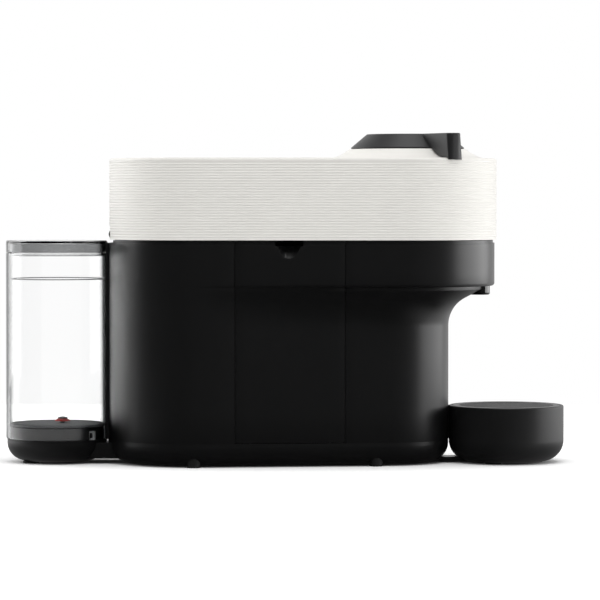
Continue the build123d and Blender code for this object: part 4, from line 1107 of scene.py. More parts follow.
        # Guides that steady the tank, and the rib that finds the stand's groove
        half = self.guide_width / 2
        for middle in (-self.guide_y, self.guide_y):
            guide = block(
                "guide",
                (self.guide_x[0], middle - half, self.guide_bottom),
                (self.guide_x[1], middle + half, self.top - self.guide_gap),
            )
            shell = worked(shell, guide, Join.ADD, SHELL_CREASE)
        rib = block(
            "rib",
            (self.rib_x[0], -self.rib_half, self.pan_top + self.rib_gap),
            (self.rib_x[1], self.rib_half, self.rib_top),
        )
        shell = worked(shell, rib, Join.ADD, SHELL_CREASE)
        return softened(shell, self.top_soft, self.top, self.soft / self.top_soft)

    def build_panel(self) -> Piece:
        """Return the panel that pulls out with the bin, with its finger scoop."""
        length = self.panel_front - self.panel_rear
        steps = range(self.panel_steps + 1)
        stations = [self.panel_rear + length * k / self.panel_steps for k in steps]
        work = bmesh.new()
        rows = []
        for z, rear_r, nose_r, nose_x in self.levels(self.pan_top + self.seam):
            row = []
            for x in stations:
                row.append(work.verts.new((x, -BODY_PLAN.half_width(x, rear_r, nose_r, nose_x), z)))
            rows.append(row)
        fill_rows(work, rows, closed=False)
        panel = walled(object_from("bin_front", work, SHELL_CREASE, outward=False), self.wall)
        face = -BODY_PLAN.band_r
        side = self.scoop_r + self.pocket_wall
        front = face + self.pocket_wall / 2
        pocket = block(
            "pocket",
            (self.scoop_x - side, front, self.scoop_bottom - 2 * self.pocket_wall),
            (self.scoop_x + side, front + self.pocket_depth, self.top - self.slot_height),
            self.pocket_soft,
        )
        panel = worked(panel, pocket, Join.ADD, SHELL_CREASE)
        # The scoop leans in at half a right angle
        middle = Vector((self.scoop_x, face, self.scoop_bottom + self.scoop_r * sqrt(2)))
        lean = Vector((0, -1, -1)).normalized() * self.scoop_reach
        scoop = rod("scoop", self.scoop_r, middle - lean, middle + lean)
        panel = worked(panel, scoop, Join.CUT, SHELL_CREASE)
        slot = block(
            "slot",
            (self.scoop_x - self.slot_width / 2, face - PAST, self.top - self.slot_height),
            (self.scoop_x + self.slot_width / 2, face + PAST, self.top + PAST),
        )
        panel = worked(panel, slot, Join.CUT, SHELL_CREASE)
        return softened(panel, self.top_soft, self.top, self.soft / self.top_soft)

    def dress(self, palette: Palette) -> None:
        """Build the body's pieces and give them their finishes."""
        place_piece(self.build_shell(), palette.black, "base", "black_plastic", "body_shell")
        place_piece(self.build_panel(), palette.black, "bin", "black_plastic", "bin_panel")
        dress_solids(palette.black, "base_pan", "deck_plate")
        dress_solids(palette.inner, "capsule_bin")
        dress_solids(palette.rubber, "rubber_feet", "cord_gland")


@dataclass
class Head:
    """White hinged head: ribbed sleeve and a cover that sweeps up to the lever."""

    bottom: float = 170.0
    sleeve_top: float = 229.4
    wall: float = 2.4
    lip: float = 0.7
    rib_pitch: float = 2.0
    rib_depth: float = 0.3
    rib_points: int = 8
    hinge_x: float = -134.0
    hinge_reach: float = 12.0
    hinge_slot: float = 22.0
    hinge_top: float = 180.6
    top: float = 231.6
    edge: float = 2.1
    collar_top: float = 238.6
    collar_r: float = 44.8
    collar_foot: float = 60.0
    collar_sweep: float = 28.0
    bore: float = 28.0
    bore_soft: float = 0.5
    bore_gap: float = 0.2
    cover_wall: float = 1.9
    cover_gap: float = 0.05
    # Rows that hold the flat parts beside the collar's foot and its top edge
    foot_flat: float = 2.5
    foot_row: float = 1.2
    top_row: float = 0.6
    # Pieces of each round end, of each side, of the edge rounding and of the collar's sweep
    arc: int = 96
    run: int = 4
    edge_steps: int = 8
    sweep_steps: int = 16

    def ring(self, radius: float) -> list[Point]:
        """Return the head's plan at a radius."""
        return PLAN.ring(radius, radius, PLAN.brew_x, arc=self.arc, run=self.run)

    def rib_tree(self) -> Tree:
        """Return the tree that draws a ribbed wall along a closed path."""
        sizes = dict.fromkeys(("Height", "Lip", "Rib Pitch", "Rib Depth"), "Float")
        tree, given = new_tree(
            "ribbed_wall", {"Path": "Geometry", **sizes, "Steps": "Int", "Finish": "Material"}
        )
        path = add_node(tree, "GeometryNodeMeshToCurve", None, {"Mesh": (given, "Path")})
        upright = add_node(tree, "GeometryNodeSetCurveNormal", {"mode": "Z_UP"}, {"Curve": (path, "Curve")})
        down = add_node(tree, "ShaderNodeMath", {"operation": "MULTIPLY", 1: -1.0}, {0: (given, "Height")})
        end = add_node(tree, "ShaderNodeCombineXYZ", None, {"Y": (down, 0)})
        line = add_node(tree, "GeometryNodeCurvePrimitiveLine", None, {"End": (end, "Vector")})
        points = add_node(
            tree, "GeometryNodeResampleCurve", None, {"Curve": (line, "Curve"), "Count": (given, "Steps")}
        )
        here = add_node(tree, "GeometryNodeInputPosition")
        split = add_node(tree, "ShaderNodeSeparateXYZ", None, {"Vector": (here, "Position")})
        height = add_node(tree, "ShaderNodeMath", {"operation": "MULTIPLY", 1: -1.0}, {0: (split, "Y")})
        # Height above the lip, held within the ribbed part
        above = add_node(
            tree, "ShaderNodeMath", {"operation": "SUBTRACT"}, {0: (height, 0), 1: (given, "Lip")}
        )
        lips = add_node(tree, "ShaderNodeMath", {"operation": "MULTIPLY", 1: 2.0}, {0: (given, "Lip")})
        ribbed = add_node(
            tree, "ShaderNodeMath", {"operation": "SUBTRACT"}, {0: (given, "Height"), 1: (lips, 0)}
        )
        held = add_node(
            tree, "ShaderNodeMath", {"operation": "MINIMUM"}, {0: (above, 0), 1: (ribbed, 0)}
        )
        held = add_node(tree, "ShaderNodeMath", {"operation": "MAXIMUM", 1: 0.0}, {0: (held, 0)})
        phase = add_node(
            tree, "ShaderNodeMath", {"operation": "DIVIDE"}, {0: (held, 0), 1: (given, "Rib Pitch")}
        )
        turn = add_node(tree, "ShaderNodeMath", {"operation": "MULTIPLY", 1: 2 * pi}, {0: (phase, 0)})
        wave = add_node(tree, "ShaderNodeMath", {"operation": "COSINE"}, {0: (turn, 0)})
        depth = add_node(tree, "ShaderNodeMath", {"operation": "SUBTRACT", 1: 1.0}, {0: (wave, 0)})
        half = add_node(tree, "ShaderNodeMath", {"operation": "MULTIPLY", 1: 0.5}, {0: (depth, 0)})
        inset = add_node(
            tree, "ShaderNodeMath", {"operation": "MULTIPLY"}, {0: (half, 0), 1: (given, "Rib Depth")}
        )
        offset = add_node(tree, "ShaderNodeCombineXYZ", None, {"X": (inset, 0)})
        profile = add_node(
            tree,
            "GeometryNodeSetPosition",
            None,
            {"Geometry": (points, "Curve"), "Offset": (offset, "Vector")},
        )
        wall = add_node(
            tree,
            "GeometryNodeCurveToMesh",
            None,
            {"Curve": (upright, "Curve"), "Profile Curve": (profile, "Geometry")},
        )
        end_tree(tree, given, wall, "Mesh")
        return tree

    def build_sleeve(self, finish: Material) -> Piece:
        """Return the ribbed sleeve with its opening for the hinge.

        Args:
            finish: The sleeve's material.

        Returns:
            The sleeve.
        """
        work = bmesh.new()
        loop = [work.verts.new((x, y, self.bottom)) for x, y in self.ring(PLAN.head_r)]
        for a, b in zip(loop, loop[1:] + loop[:1]):
            work.edges.new((a, b))
        bmesh.ops.scale(work, vec=(MM, MM, MM), verts=work.verts)
        mesh = bpy.data.meshes.new("sleeve_path")
        work.to_mesh(mesh)
        work.free()
        sleeve = bpy.data.objects.new("ribbed_sleeve", mesh)
        bpy.context.scene.collection.objects.link(sleeve)
        height = self.sleeve_top - self.bottom
        values = {
            "Height": height * MM,
            "Lip": self.lip * MM,
            "Rib Pitch": self.rib_pitch * MM,
            "Rib Depth": self.rib_depth * MM,
            "Steps": int(height / self.rib_pitch * self.rib_points) + 1,
            "Finish": finish,
        }
        grow(sleeve, "ribs", self.rib_tree(), values)
        sleeve = settle(sleeve, RIB_CREASE)
        self.close_wall(sleeve)
        half = self.hinge_slot / 2
        gap = block(
            "hinge_gap",
            (self.hinge_x - self.hinge_reach, -half, self.bottom - PAST),
            (self.hinge_x + self.hinge_reach, half, self.hinge_top),
        )
        return worked(sleeve, gap, Join.CUT, RIB_CREASE)

    def close_wall(self, sleeve: Piece) -> None:
        """Give the ribbed wall a plain inner face and two level rims.

        Args:
            sleeve: The open ribbed wall.
        """
        work = bmesh.new()
        work.from_mesh(sleeve.data)
        rims = [edge for edge in work.edges if edge.is_boundary]
        inner = []
        for low in (True, False):
            middle = (self.bottom + self.sleeve_top) / 2 * MM
            rim = [edge for edge in rims if (edge.verts[0].co.z < middle) == low]
            made = bmesh.ops.extrude_edge_only(work, edges=rim)["geom"]
            for vert in [part for part in made if isinstance(part, bmesh.types.BMVert)]:
                axis = Vector((min(max(vert.co.x, PLAN.rear_x * MM), PLAN.brew_x * MM), 0.0, vert.co.z))
                vert.co = axis + (vert.co - axis).normalized() * (PLAN.head_r - self.wall) * MM
            inner += [part for part in made if isinstance(part, bmesh.types.BMEdge)]
        bmesh.ops.bridge_loops(work, edges=inner)
        bmesh.ops.recalc_face_normals(work, faces=work.faces)
        work.to_mesh(sleeve.data)
        work.free()

    def build_cover(self) -> Piece:
        """Return the cover with its flared collar."""
        work = bmesh.new()
        rows = []
        insets = [(0.0, self.sleeve_top + self.cover_gap)]
        for step in range(self.edge_steps + 1):
            turn = radians(90) * step / self.edge_steps
            insets.append((self.edge * (1 - cos(turn)), self.top - self.edge * (1 - sin(turn))))
        for inset, z in insets:
            rows.append([work.verts.new((x, y, z)) for x, y in self.ring(PLAN.head_r - inset)])
        fill_rows(work, rows)
        foot = self.collar_foot + self.foot_flat
        crown, base = (self.collar_r, self.collar_top), (self.collar_foot, self.top)
        curve = arc_between(crown, base, self.collar_sweep, self.sweep_steps)
        curve.reverse()
        outline = [(foot, self.top), (foot - self.foot_row, self.top)] + curve
        outline += soft_corners(
            [
                (*curve[-1], 0.0),
                (self.collar_r - self.top_row, self.collar_top, 0.0),
                (self.bore, self.collar_top, self.bore_soft),
                (self.bore, self.sleeve_top + self.bore_gap, 0.0),
            ],
            closed=False,
        )[1:]
        collar = turned(outline, PLAN.brew_x, closed=False)
        rim = [v.co.copy() for v in collar.verts if abs(v.co.z - self.top) < WELD]
        rim = [c for c in rim if abs(hypot(c.x - PLAN.brew_x, c.y) - foot) < WELD]
        mesh = bpy.data.meshes.new("collar")
        collar.to_mesh(mesh)
        collar.free()
        work.from_mesh(mesh)
        bpy.data.meshes.remove(mesh)
        # The flat top, between the edge rounding and the collar's foot
        rim.sort(key=lambda c: atan_turn(c.y, c.x - PLAN.brew_x))
        circle = [work.verts.new(c) for c in rim]
        edges = [work.edges.new((a, b)) for a, b in zip(circle, circle[1:] + circle[:1])]
        last = rows[-1]
        for a, b in zip(last, last[1:] + last[:1]):
            edges.append(work.edges.get((a, b)))
        bmesh.ops.triangle_fill(work, use_beauty=True, use_dissolve=False, edges=edges)
        cover = object_from("swept_cover", work, SHELL_CREASE)
        make_face_up(cover)
        return walled(cover, self.cover_wall)

    def dress(self, palette: Palette) -> None:
        """Build the head's pieces and give them their finishes."""
        place_piece(self.build_sleeve(palette.white), palette.white, "head", "white_plastic", "head_sleeve")
        place_piece(self.build_cover(), palette.white, "head", "white_plastic", "head_cover")
        dress_solids(palette.inner, "head_liner", "injector_body", "clamp_disc")
        dress_solids(palette.steel, "clamp_bearing", "clamp_clip", "injector_needle", "hinge_pin")
        dress_solids(palette.hose, "injector_seal", "head_hose")


def atan_turn(y: float, x: float) -> float:
    """Return the angle of a direction, from -pi to pi."""
    return Vector((1.0, 0.0)).angle_signed(Vector((x, -y)))


def make_face_up(piece: Piece) -> None:
    """Turn an open skin over if its level faces look down."""
    up = sum(face.normal.z * face.area for face in piece.data.polygons)
    if up < 0:
        piece.data.flip_normals()


@dataclass
class Lever:
    """Charcoal lever: a cone with a thumb tab."""

    top: float = 250.0
    bottom: float = 239.0
    rim: float = 44.0
    crown: float = 31.0
    bore: float = 24.0
    hub: float = 27.7
    hub_bottom: float = 226.0
    clear: float = 0.5
    tab_turn: float = -61.0
    tab_reach: float = 69.8
    tab_width: float = 11.8
    tab_lip: float = 230.1
    tab_lip_width: float = 0.7
    tab_root: float = 1.5
    soft: float = 0.8
    tab_corner: float = 4.4
    corner_steps: int = 8
    sweep_steps: int = 12
    crease: float = 32.0

    def build_lever(self, head: Head) -> Piece:
        """Return the lever.

        Args:
            head: The head, whose collar the tab follows.

        Returns:
            The cone with its tab.
        """
        cone = turned_piece(
            "lever_grip",
            [
                (self.bore, self.top, 0.4),
                (self.crown, self.top, 1.4),
                (self.rim, self.bottom, 0.5),
                (self.hub, self.bottom, 0.0),
                (self.hub, self.hub_bottom, 0.4),
                (self.bore, self.hub_bottom, 0.4),
            ],
            PLAN.brew_x,
        )
        under = arc_between(
            (head.collar_r + self.clear, head.collar_top + self.clear),
            (head.collar_foot + self.clear, head.top + self.clear),
            head.collar_sweep,
            self.sweep_steps,
        )
        profile = under + [
            (PLAN.head_r - head.edge + 1.5 * self.clear, head.top + self.clear),
            (self.tab_reach - self.tab_lip_width, self.tab_lip),
            (self.tab_reach, self.tab_lip),
            (self.tab_reach, self.top),
            (self.crown - self.tab_root, self.top),
            (self.crown - self.tab_root, head.collar_top + self.clear),
        ]
        work = bmesh.new()
        half = self.tab_width / 2
        near = [work.verts.new((r, -half, z)) for r, z in profile]
        far = [work.verts.new((r, half, z)) for r, z in profile]
        count = len(profile)
        work.faces.new(near)
        work.faces.new(list(reversed(far)))
        for i in range(count):
            j = (i + 1) % count
            work.faces.new((near[j], near[i], far[i], far[j]))
        bmesh.ops.recalc_face_normals(work, faces=work.faces)
        for soft, ends in ((self.tab_corner, True), (self.soft, False)):
            picked = []
            for edge in work.edges:
                a, b = edge.verts
                upright = abs(a.co.x - b.co.x) < SLACK and abs(a.co.y - b.co.y) < SLACK
                level = abs(a.co.z - self.top) < SLACK and abs(b.co.z - self.top) < SLACK
                outer = max(a.co.x, b.co.x) > self.crown
                if outer and len(edge.link_faces) == 2 and edge.calc_face_angle() > radians(SHELL_CREASE):
                    if (ends and upright and a.co.x > self.tab_reach - SLACK) or (not ends and level):
                        picked.append(edge)
            bmesh.ops.bevel(
                work, geom=picked, offset=soft, segments=self.corner_steps, profile=0.5, affect="EDGES"
            )
        place = Matrix.Translation((PLAN.brew_x, 0, 0)) @ Matrix.Rotation(radians(self.tab_turn), 4, "Z")
        bmesh.ops.transform(work, matrix=place, verts=work.verts)
        return worked(cone, object_from("tab", work), Join.ADD, self.crease)

    def dress(self, palette: Palette, head: Head) -> None:
        """Build the lever and give its pieces their finishes."""
        place_piece(self.build_lever(head), palette.charcoal, "lever", "lever_plastic", "lever")
        dress_solids(palette.inner, "lever_retainer")


@dataclass
class StartButton:
    """Start button inside the lever: a fixed bezel, a light ring and the button itself."""

    bezel_top: float = 248.6
    bezel_under: float = 246.2
    bezel_r: float = 23.6
    bezel_bore: float = 9.4
    skirt_bore: float = 21.4
    foot_r: float = 40.0
    foot_top: float = 222.0
    foot_bottom: float = 219.8
    ring_r: tuple[float, float] = (12.0, 14.0)
    ring_bottom: float = 247.4
    ring_fit: float = 0.02
    dish_r: float = 8.2
    dish_bottom: float = 249.0
    dish_depth: float = 0.45
    dish_steps: int = 8
    cap_r: float = 9.0
    flange_r: float = 10.5
    flange_top: float = 245.8
    flange_bottom: float = 244.3
    stem_r: float = 3.0
    stem_bottom: float = 238.0

    def build_bezel(self) -> Piece:
        """Return the bezel with the groove that the light ring lies in."""
        inner, outer = self.ring_r
        corners = [
            (self.bezel_bore, self.bezel_top, 0.3),
            (inner, self.bezel_top, 0.0),
            (inner, self.ring_bottom, 0.0),
            (outer, self.ring_bottom, 0.0),
            (outer, self.bezel_top, 0.0),
            (self.bezel_r, self.bezel_top, 0.8),
            (self.bezel_r, self.foot_top, 0.0),
            (self.foot_r, self.foot_top, 0.5),
            (self.foot_r, self.foot_bottom, 0.5),
            (self.skirt_bore, self.foot_bottom, 0.0),
            (self.skirt_bore, self.bezel_under, 0.0),
            (self.bezel_bore, self.bezel_under, 0.0),
        ]
        return turned_piece("bezel_face", corners, PLAN.brew_x)

    def build_ring(self) -> Piece:
        """Return the light ring."""
        inner, outer = self.ring_r[0] + self.ring_fit, self.ring_r[1] - self.ring_fit
        low, high = self.ring_bottom + self.ring_fit, self.bezel_top - self.ring_fit
        corners = [(inner, low, 0), (outer, low, 0), (outer, high, 0.3), (inner, high, 0.3)]
        return turned_piece("light_band", corners, PLAN.brew_x)

    def build_button(self) -> Piece:
        """Return the button, with a shallow dish in its top for a fingertip."""
        top = self.dish_bottom + self.dish_depth
        outline = []
        for step in range(self.dish_steps + 1):
            share = step / self.dish_steps
            outline.append((self.dish_r * share, self.dish_bottom + self.dish_depth * share**2))
        side = [
            (self.dish_r, top, 0),
            (self.cap_r, top, 0.4),
            (self.cap_r, self.flange_top, 0),
            (self.flange_r, self.flange_top, 0.2),
        ]
        outline += soft_corners(side, closed=False)[1:]
        outline += [
            (self.flange_r, self.flange_bottom),
            (self.stem_r, self.flange_bottom),
            (self.stem_r, self.stem_bottom),
            (0.0, self.stem_bottom),
        ]
        return object_from("button_cap", turned(outline, PLAN.brew_x, MIDDLE_TURNS, closed=False))

    def dress(self, palette: Palette) -> None:
        """Build the bezel, the ring and the button and give them their finishes."""
        place_piece(self.build_bezel(), palette.charcoal, "head", "lever_plastic", "button_bezel")
        place_piece(self.build_ring(), palette.guide, "head", "light_guide", "light_ring")
        place_piece(self.build_button(), palette.charcoal, "button", "lever_plastic", "start_button")
        dress_solids(palette.board, "button_board")


@dataclass
class WaterTank:
    """Clear tank on its dock, with a smoked lid and a valve in its floor."""

    x: float = -174.2
    radius: float = 38.8
    wall: float = 2.2
    bottom: float = 18.3
    floor: float = 29.8
    floor_bottom: float = 28.2
    top: float = 160.0
    fill_line: float = 140.0
    valve_x: float = -170.0
    port: float = 4.0
    spigot: float = 7.2
    spigot_bottom: float = 20.0
    lid_r: float = 38.8
    lid_top: float = 169.4
    plug_bottom: float = 157.5
    clip_low: tuple[float, float, float] = (-149.7, -24.5, 18.05)
    clip_high: tuple[float, float, float] = (-144.2, -18.1, 25.0)
    clip_wall: float = 1.4
    clip_soft: float = 0.5
    clip_past: float = 1.0
    # Gaps from the floor and the fill line to the wall, under the lid's edge and round its plug
    fit: float = 0.02
    lid_gap: float = 0.3
    plug_gap: float = 0.4
    # The lid's wall, the fill line's section and how far the spigot goes into the floor
    lid_wall: float = 2.0
    line_half: float = 0.4
    line_depth: float = 0.35
    spigot_root: float = 1.0
    # The seal's lift off the floor, then seal and poppet with edge, side and tops above the seal's underside
    seal_lift: float = 1.4
    seal_bore: float = 1.85
    seal_r: float = 5.9
    seal_edge: float = 0.6
    seal_top: float = 1.8
    stem_r: float = 1.8
    stem_bottom: float = 24.6
    poppet_r: float = 3.8
    poppet_side: float = 2.9
    poppet_top: float = 3.6

    def build_wall(self) -> Piece:
        """Return the tank's clear wall."""
        inner = self.radius - self.wall
        return turned_piece(
            "tank_wall",
            [
                (inner, self.bottom, 0.4),
                (self.radius, self.bottom, 0.8),
                (self.radius, self.top, 0.9),
                (inner, self.top, 0.6),
            ],
            self.x,
        )

    def build_fill_line(self) -> Piece:
        """Return the fine ring on the wall that marks the highest level."""
        outer = self.radius - self.wall - self.fit
        inner = outer - self.line_depth
        low, high = self.fill_line - self.line_half, self.fill_line + self.line_half
        corners = [(inner, low, 0.1), (outer, low, 0.0), (outer, high, 0.0), (inner, high, 0.1)]
        return turned_piece("tank_fill_line", corners, self.x)

    def build_floor(self) -> Piece:
        """Return the tank's tinted floor with the spigot that the dock takes."""
        inner = self.radius - self.wall - self.fit
        floor = turned_piece(
            "tank_floor",
            [
                (0.0, self.floor, 0.0),
                (0.0, self.floor_bottom, 0.0),
                (inner, self.floor_bottom, 0.3),
                (inner, self.floor, 0.3),
            ],
            self.x,
        )
        spigot = turned_piece(
            "spigot",
            [
                (0.0, self.spigot_bottom, 0.0),
                (self.spigot, self.spigot_bottom, 0.5),
                (self.spigot, self.floor_bottom + self.spigot_root, 0.0),
                (0.0, self.floor_bottom + self.spigot_root, 0.0),
            ],
            self.valve_x,
            turns=SMALL_TURNS,
        )
        floor = worked(floor, spigot, Join.ADD)
        low, high = self.spigot_bottom - PAST, self.floor + PAST
        port = rod("port", self.port, (self.valve_x, 0, low), (self.valve_x, 0, high))
        return worked(floor, port, Join.CUT)

    def build_clip(self) -> Piece:
        """Return the dock's small clip, hollow in front."""
        low, high = self.clip_low, self.clip_high
        clip = block("dock_bracket", low, high, self.clip_soft)
        hollow = block(
            "hollow",
            (low[0] + self.clip_wall, low[1] - self.clip_past, low[2] + self.clip_wall),
            (high[0] - self.clip_wall, high[1] - self.clip_wall, high[2] - self.clip_wall),
        )
        return worked(clip, hollow, Join.CUT, SHELL_CREASE)

    def build_lid(self) -> Piece:
        """Return the lid."""
        plug = self.radius - self.wall - self.plug_gap
        under = self.lid_top - self.lid_wall
        return turned_piece(
            "lid_cap",
            [
                (0.0, self.lid_top, 0.0),
                (self.lid_r, self.lid_top, 1.6),
                (self.lid_r, self.top + self.lid_gap, 0.5),
                (plug, self.top + self.lid_gap, 0.0),
                (plug, self.plug_bottom, 0.5),
                (plug - self.lid_wall, self.plug_bottom, 0.5),
                (plug - self.lid_wall, under, 0.8),
                (0.0, under, 0.0),
            ],
            self.x,
        )

    def build_seal(self) -> Piece:
        """Return the valve's red seal."""
        low = self.floor + self.seal_lift
        corners = [
            (self.seal_bore, low, 0),
            (self.seal_r, low, 0.3),
            (self.seal_r, low + self.seal_edge, 0.3),
            (self.poppet_r, low + self.seal_top, 0.4),
            (self.seal_bore, low + self.seal_top, 0),
        ]
        return turned_piece("valve_disc", corners, self.valve_x, SMALL_TURNS)

    def build_poppet(self) -> Piece:
        """Return the valve's black poppet on its stem."""
        low = self.floor + self.seal_lift
        corners = [
            (0, self.stem_bottom, 0),
            (self.stem_r, self.stem_bottom, 0.4),
            (self.stem_r, low + self.seal_top, 0),
            (self.poppet_r, low + self.seal_top, 0.2),
            (self.poppet_r, low + self.poppet_side, 0.7),
            (0, low + self.poppet_top, 0),
        ]
        return turned_piece("valve_cap", corners, self.valve_x, SMALL_TURNS)

    def dress(self, palette: Palette) -> None:
        """Build the tank's pieces and give them their finishes."""
        place_piece(self.build_wall(), palette.clear, "tank", "clear_plastic", "water_tank")
        place_piece(self.build_fill_line(), palette.pale, "tank", "clear_plastic", "water_tank")
        place_piece(self.build_floor(), palette.tinted, "tank", "clear_plastic", "water_tank")
        place_piece(self.build_lid(), palette.smoked, "lid", "black_plastic", "tank_lid")
        place_piece(self.build_seal(), palette.red, "valve", "red_rubber", "valve_seal")
        place_piece(self.build_poppet(), palette.gloss, "valve", "black_plastic", "valve_poppet")
        dress_solids(palette.black, "tank_dock")
        place_piece(self.build_clip(), palette.pale, "base", "grey_plastic", "dock_clip")
        dress_solids(palette.rubber, "dock_seal")


@dataclass
class CupStand:
    """Round stand in front, with a slatted drip grid."""

    x: float = 169.1
    radius: float = 43.9
    bottom: float = 1.0
    top: float = 43.5
    foot_round: float = 16.0
    floor: float = 9.0
    rim: float = 2.4
    ledge: float = 2.0
    grid_thick: float = 2.0
    tongue_end: float = 152.5
    tongue_half: float = 10.75
    tongue_top: float = 4.8
    slat_pitch: float = 8.0
    slat_width: float = 3.8
    slat_count: int = 8
    grid_margin: float = 5.0
    groove_end: float = 126.05
    groove_half: float = 3.4
    outline_steps: int = 12
    # How far the grid keeps from the rim and below the top, and how its slats lie in its ring
    grid_gap: float = 0.4
    grid_sink: float = 0.05
    slat_lap: float = 0.8
    slat_sink: float = 0.1
    slat_soft: float = 0.35
    slat_edge: float = 60.0

    def build_stand(self) -> Piece:
        """Return the stand with its drip well and the channel for the pan's tongue."""
        rim = self.radius - self.rim
        well = rim - self.ledge
        outline = soft_corners(
            [
                (0.0, self.bottom, 0.0),
                (self.radius, self.bottom, self.foot_round),
                (self.radius, self.top, 1.0),
                (rim, self.top, 0.5),
                (rim, self.top - self.grid_thick, 0.0),
                (well, self.top - self.grid_thick, 0.3),
                (well, self.floor, 4.0),
                (0.0, self.floor, 0.0),
            ],
            steps=self.outline_steps,
        )
        stand = object_from("stand_cup", turned(held_flat(outline), self.x))
        start, low = self.x - self.radius - PAST, self.bottom - PAST
        channel = block(
            "channel",
            (start, -self.tongue_half, low),
            (self.tongue_end, self.tongue_half, self.tongue_top),
        )
        stand = worked(stand, channel, Join.CUT)
        groove = block(
            "groove",
            (start, -self.groove_half, low),
            (self.groove_end, self.groove_half, self.top + PAST),
        )
        return worked(stand, groove, Join.CUT)

    def slat_tree(self) -> Tree:
        """Return the tree that sets slats side by side across a ring."""
        sizes = dict.fromkeys(("Span Radius", "Pitch", "Width", "Thickness"), "Float")
        tree, given = new_tree(
            "grid_slats",
            {"Ring": "Geometry", "Middle": "Vector", **sizes, "Count": "Int", "Finish": "Material"},
        )
        step = add_node(tree, "ShaderNodeCombineXYZ", None, {"Y": (given, "Pitch")})
        less = add_node(tree, "ShaderNodeMath", {"operation": "SUBTRACT", 1: 1.0}, {0: (given, "Count")})
        span = add_node(
            tree, "ShaderNodeMath", {"operation": "MULTIPLY"}, {0: (less, 0), 1: (given, "Pitch")}
        )
        half = add_node(tree, "ShaderNodeMath", {"operation": "MULTIPLY", 1: -0.5}, {0: (span, 0)})
        start = add_node(tree, "ShaderNodeCombineXYZ", None, {"Y": (half, 0)})
        line = add_node(
            tree,
            "GeometryNodeMeshLine",
            None,
            {"Count": (given, "Count"), "Start Location": (start, "Vector"), "Offset": (step, "Vector")},
        )
        here = add_node(tree, "GeometryNodeInputPosition")
        split = add_node(tree, "ShaderNodeSeparateXYZ", None, {"Vector": (here, "Position")})
        across = add_node(tree, "ShaderNodeMath", {"operation": "POWER", 1: 2.0}, {0: (split, "Y")})
        reach = add_node(tree, "ShaderNodeMath", {"operation": "POWER", 1: 2.0}, {0: (given, "Span Radius")})
        left = add_node(tree, "ShaderNodeMath", {"operation": "SUBTRACT"}, {0: (reach, 0), 1: (across, 0)})
        chord = add_node(tree, "ShaderNodeMath", {"operation": "SQRT"}, {0: (left, 0)})
        length = add_node(tree, "ShaderNodeMath", {"operation": "MULTIPLY", 1: 2.0}, {0: (chord, 0)})
        size = add_node(
            tree,
            "ShaderNodeCombineXYZ",
            None,
            {"X": (length, 0), "Y": (given, "Width"), "Z": (given, "Thickness")},
        )
        slat = add_node(tree, "GeometryNodeMeshCube", {"Size": (1.0, 1.0, 1.0)})
        slats = add_node(
            tree,
            "GeometryNodeInstanceOnPoints",
            None,
            {"Points": (line, "Mesh"), "Instance": (slat, "Mesh"), "Scale": (size, "Vector")},
        )
        moved = add_node(
            tree,
            "GeometryNodeTransform",
            None,
            {"Geometry": (slats, "Instances"), "Translation": (given, "Middle")},
        )
        both = add_node(tree, "GeometryNodeJoinGeometry", None, {"Geometry": (moved, "Geometry")})
        tree.links.new(given.outputs["Ring"], both.inputs["Geometry"])
        end_tree(tree, given, both, "Geometry")
        return tree

    def build_grid(self, finish: Material) -> Piece:
        """Return the drip grid.

        Args:
            finish: The grid's material.

        Returns:
            The grid, with a rounded ring and slats.
        """
        outer = self.radius - self.rim - self.grid_gap
        inner = outer - self.grid_margin
        low, high = self.top - self.grid_thick, self.top - self.grid_sink
        corners = [(inner, low, 0), (outer, low, 0), (outer, high, 0.6), (inner, high, 0.6)]
        grid = turned_piece("grid_slats", corners, self.x)
        values = {
            "Middle": (self.x * MM, 0.0, (low + (self.grid_thick - self.slat_sink) / 2) * MM),
            "Span Radius": (inner + self.slat_lap) * MM,
            "Pitch": self.slat_pitch * MM,
            "Width": self.slat_width * MM,
            "Thickness": (self.grid_thick - 2 * self.slat_sink) * MM,
            "Count": self.slat_count,
            "Finish": finish,
        }
        grow(grid, "slats", self.slat_tree(), values)
        soft = grid.modifiers.new("soft", "BEVEL")
        soft.width = self.slat_soft * MM
        soft.segments = 2
        soft.limit_method = "ANGLE"
        soft.angle_limit = radians(self.slat_edge)
        return settle(grid)

    def dress(self, palette: Palette) -> None:
        """Build the stand's pieces and give them their finishes."""
        place_piece(self.build_stand(), palette.stand_black, "stand", "black_plastic", "cup_stand")
        grid = self.build_grid(palette.stand_black)
        place_piece(grid, palette.stand_black, "grid", "black_plastic", "drip_grid")
        dress_solids(palette.rubber, "stand_feet")


@dataclass
class BrewUnit:
    """Drum, collector, spout and motor on the brew axis."""

    spout_bore: float = 3.0
    bore_depth: float = 12.0
    spout_bottom: float = 127.8
    spout_top: float = 147.0

    def build_spout(self) -> Piece:
        """Return the polished nozzle with its rounded lip."""
        bore_end = self.spout_bottom + self.bore_depth
        corners = [
            (self.spout_bore, self.spout_bottom, 0.8),
            (PLAN.spout_r, self.spout_bottom, 1.2),
            (PLAN.spout_r, self.spout_top, 0.4),
            (0.0, self.spout_top, 0.0),
            (0.0, bore_end, 0.0),
            (self.spout_bore, bore_end, 0.0),
        ]
        return turned_piece("spout_nozzle", corners, PLAN.spout_x, MIDDLE_TURNS)

    def dress(self, palette: Palette) -> None:
        """Build the nozzle and give the unit's pieces their finishes."""
        place_piece(self.build_spout(), palette.gloss, "base", "black_gloss", "outlet_spout")
        dress_solids(palette.inner, "capsule_drum", "coffee_collector", "motor_frame")
        dress_solids(palette.steel, "drive_shaft", "drum_bearing", "frame_screws")
        dress_solids(palette.can, "motor")


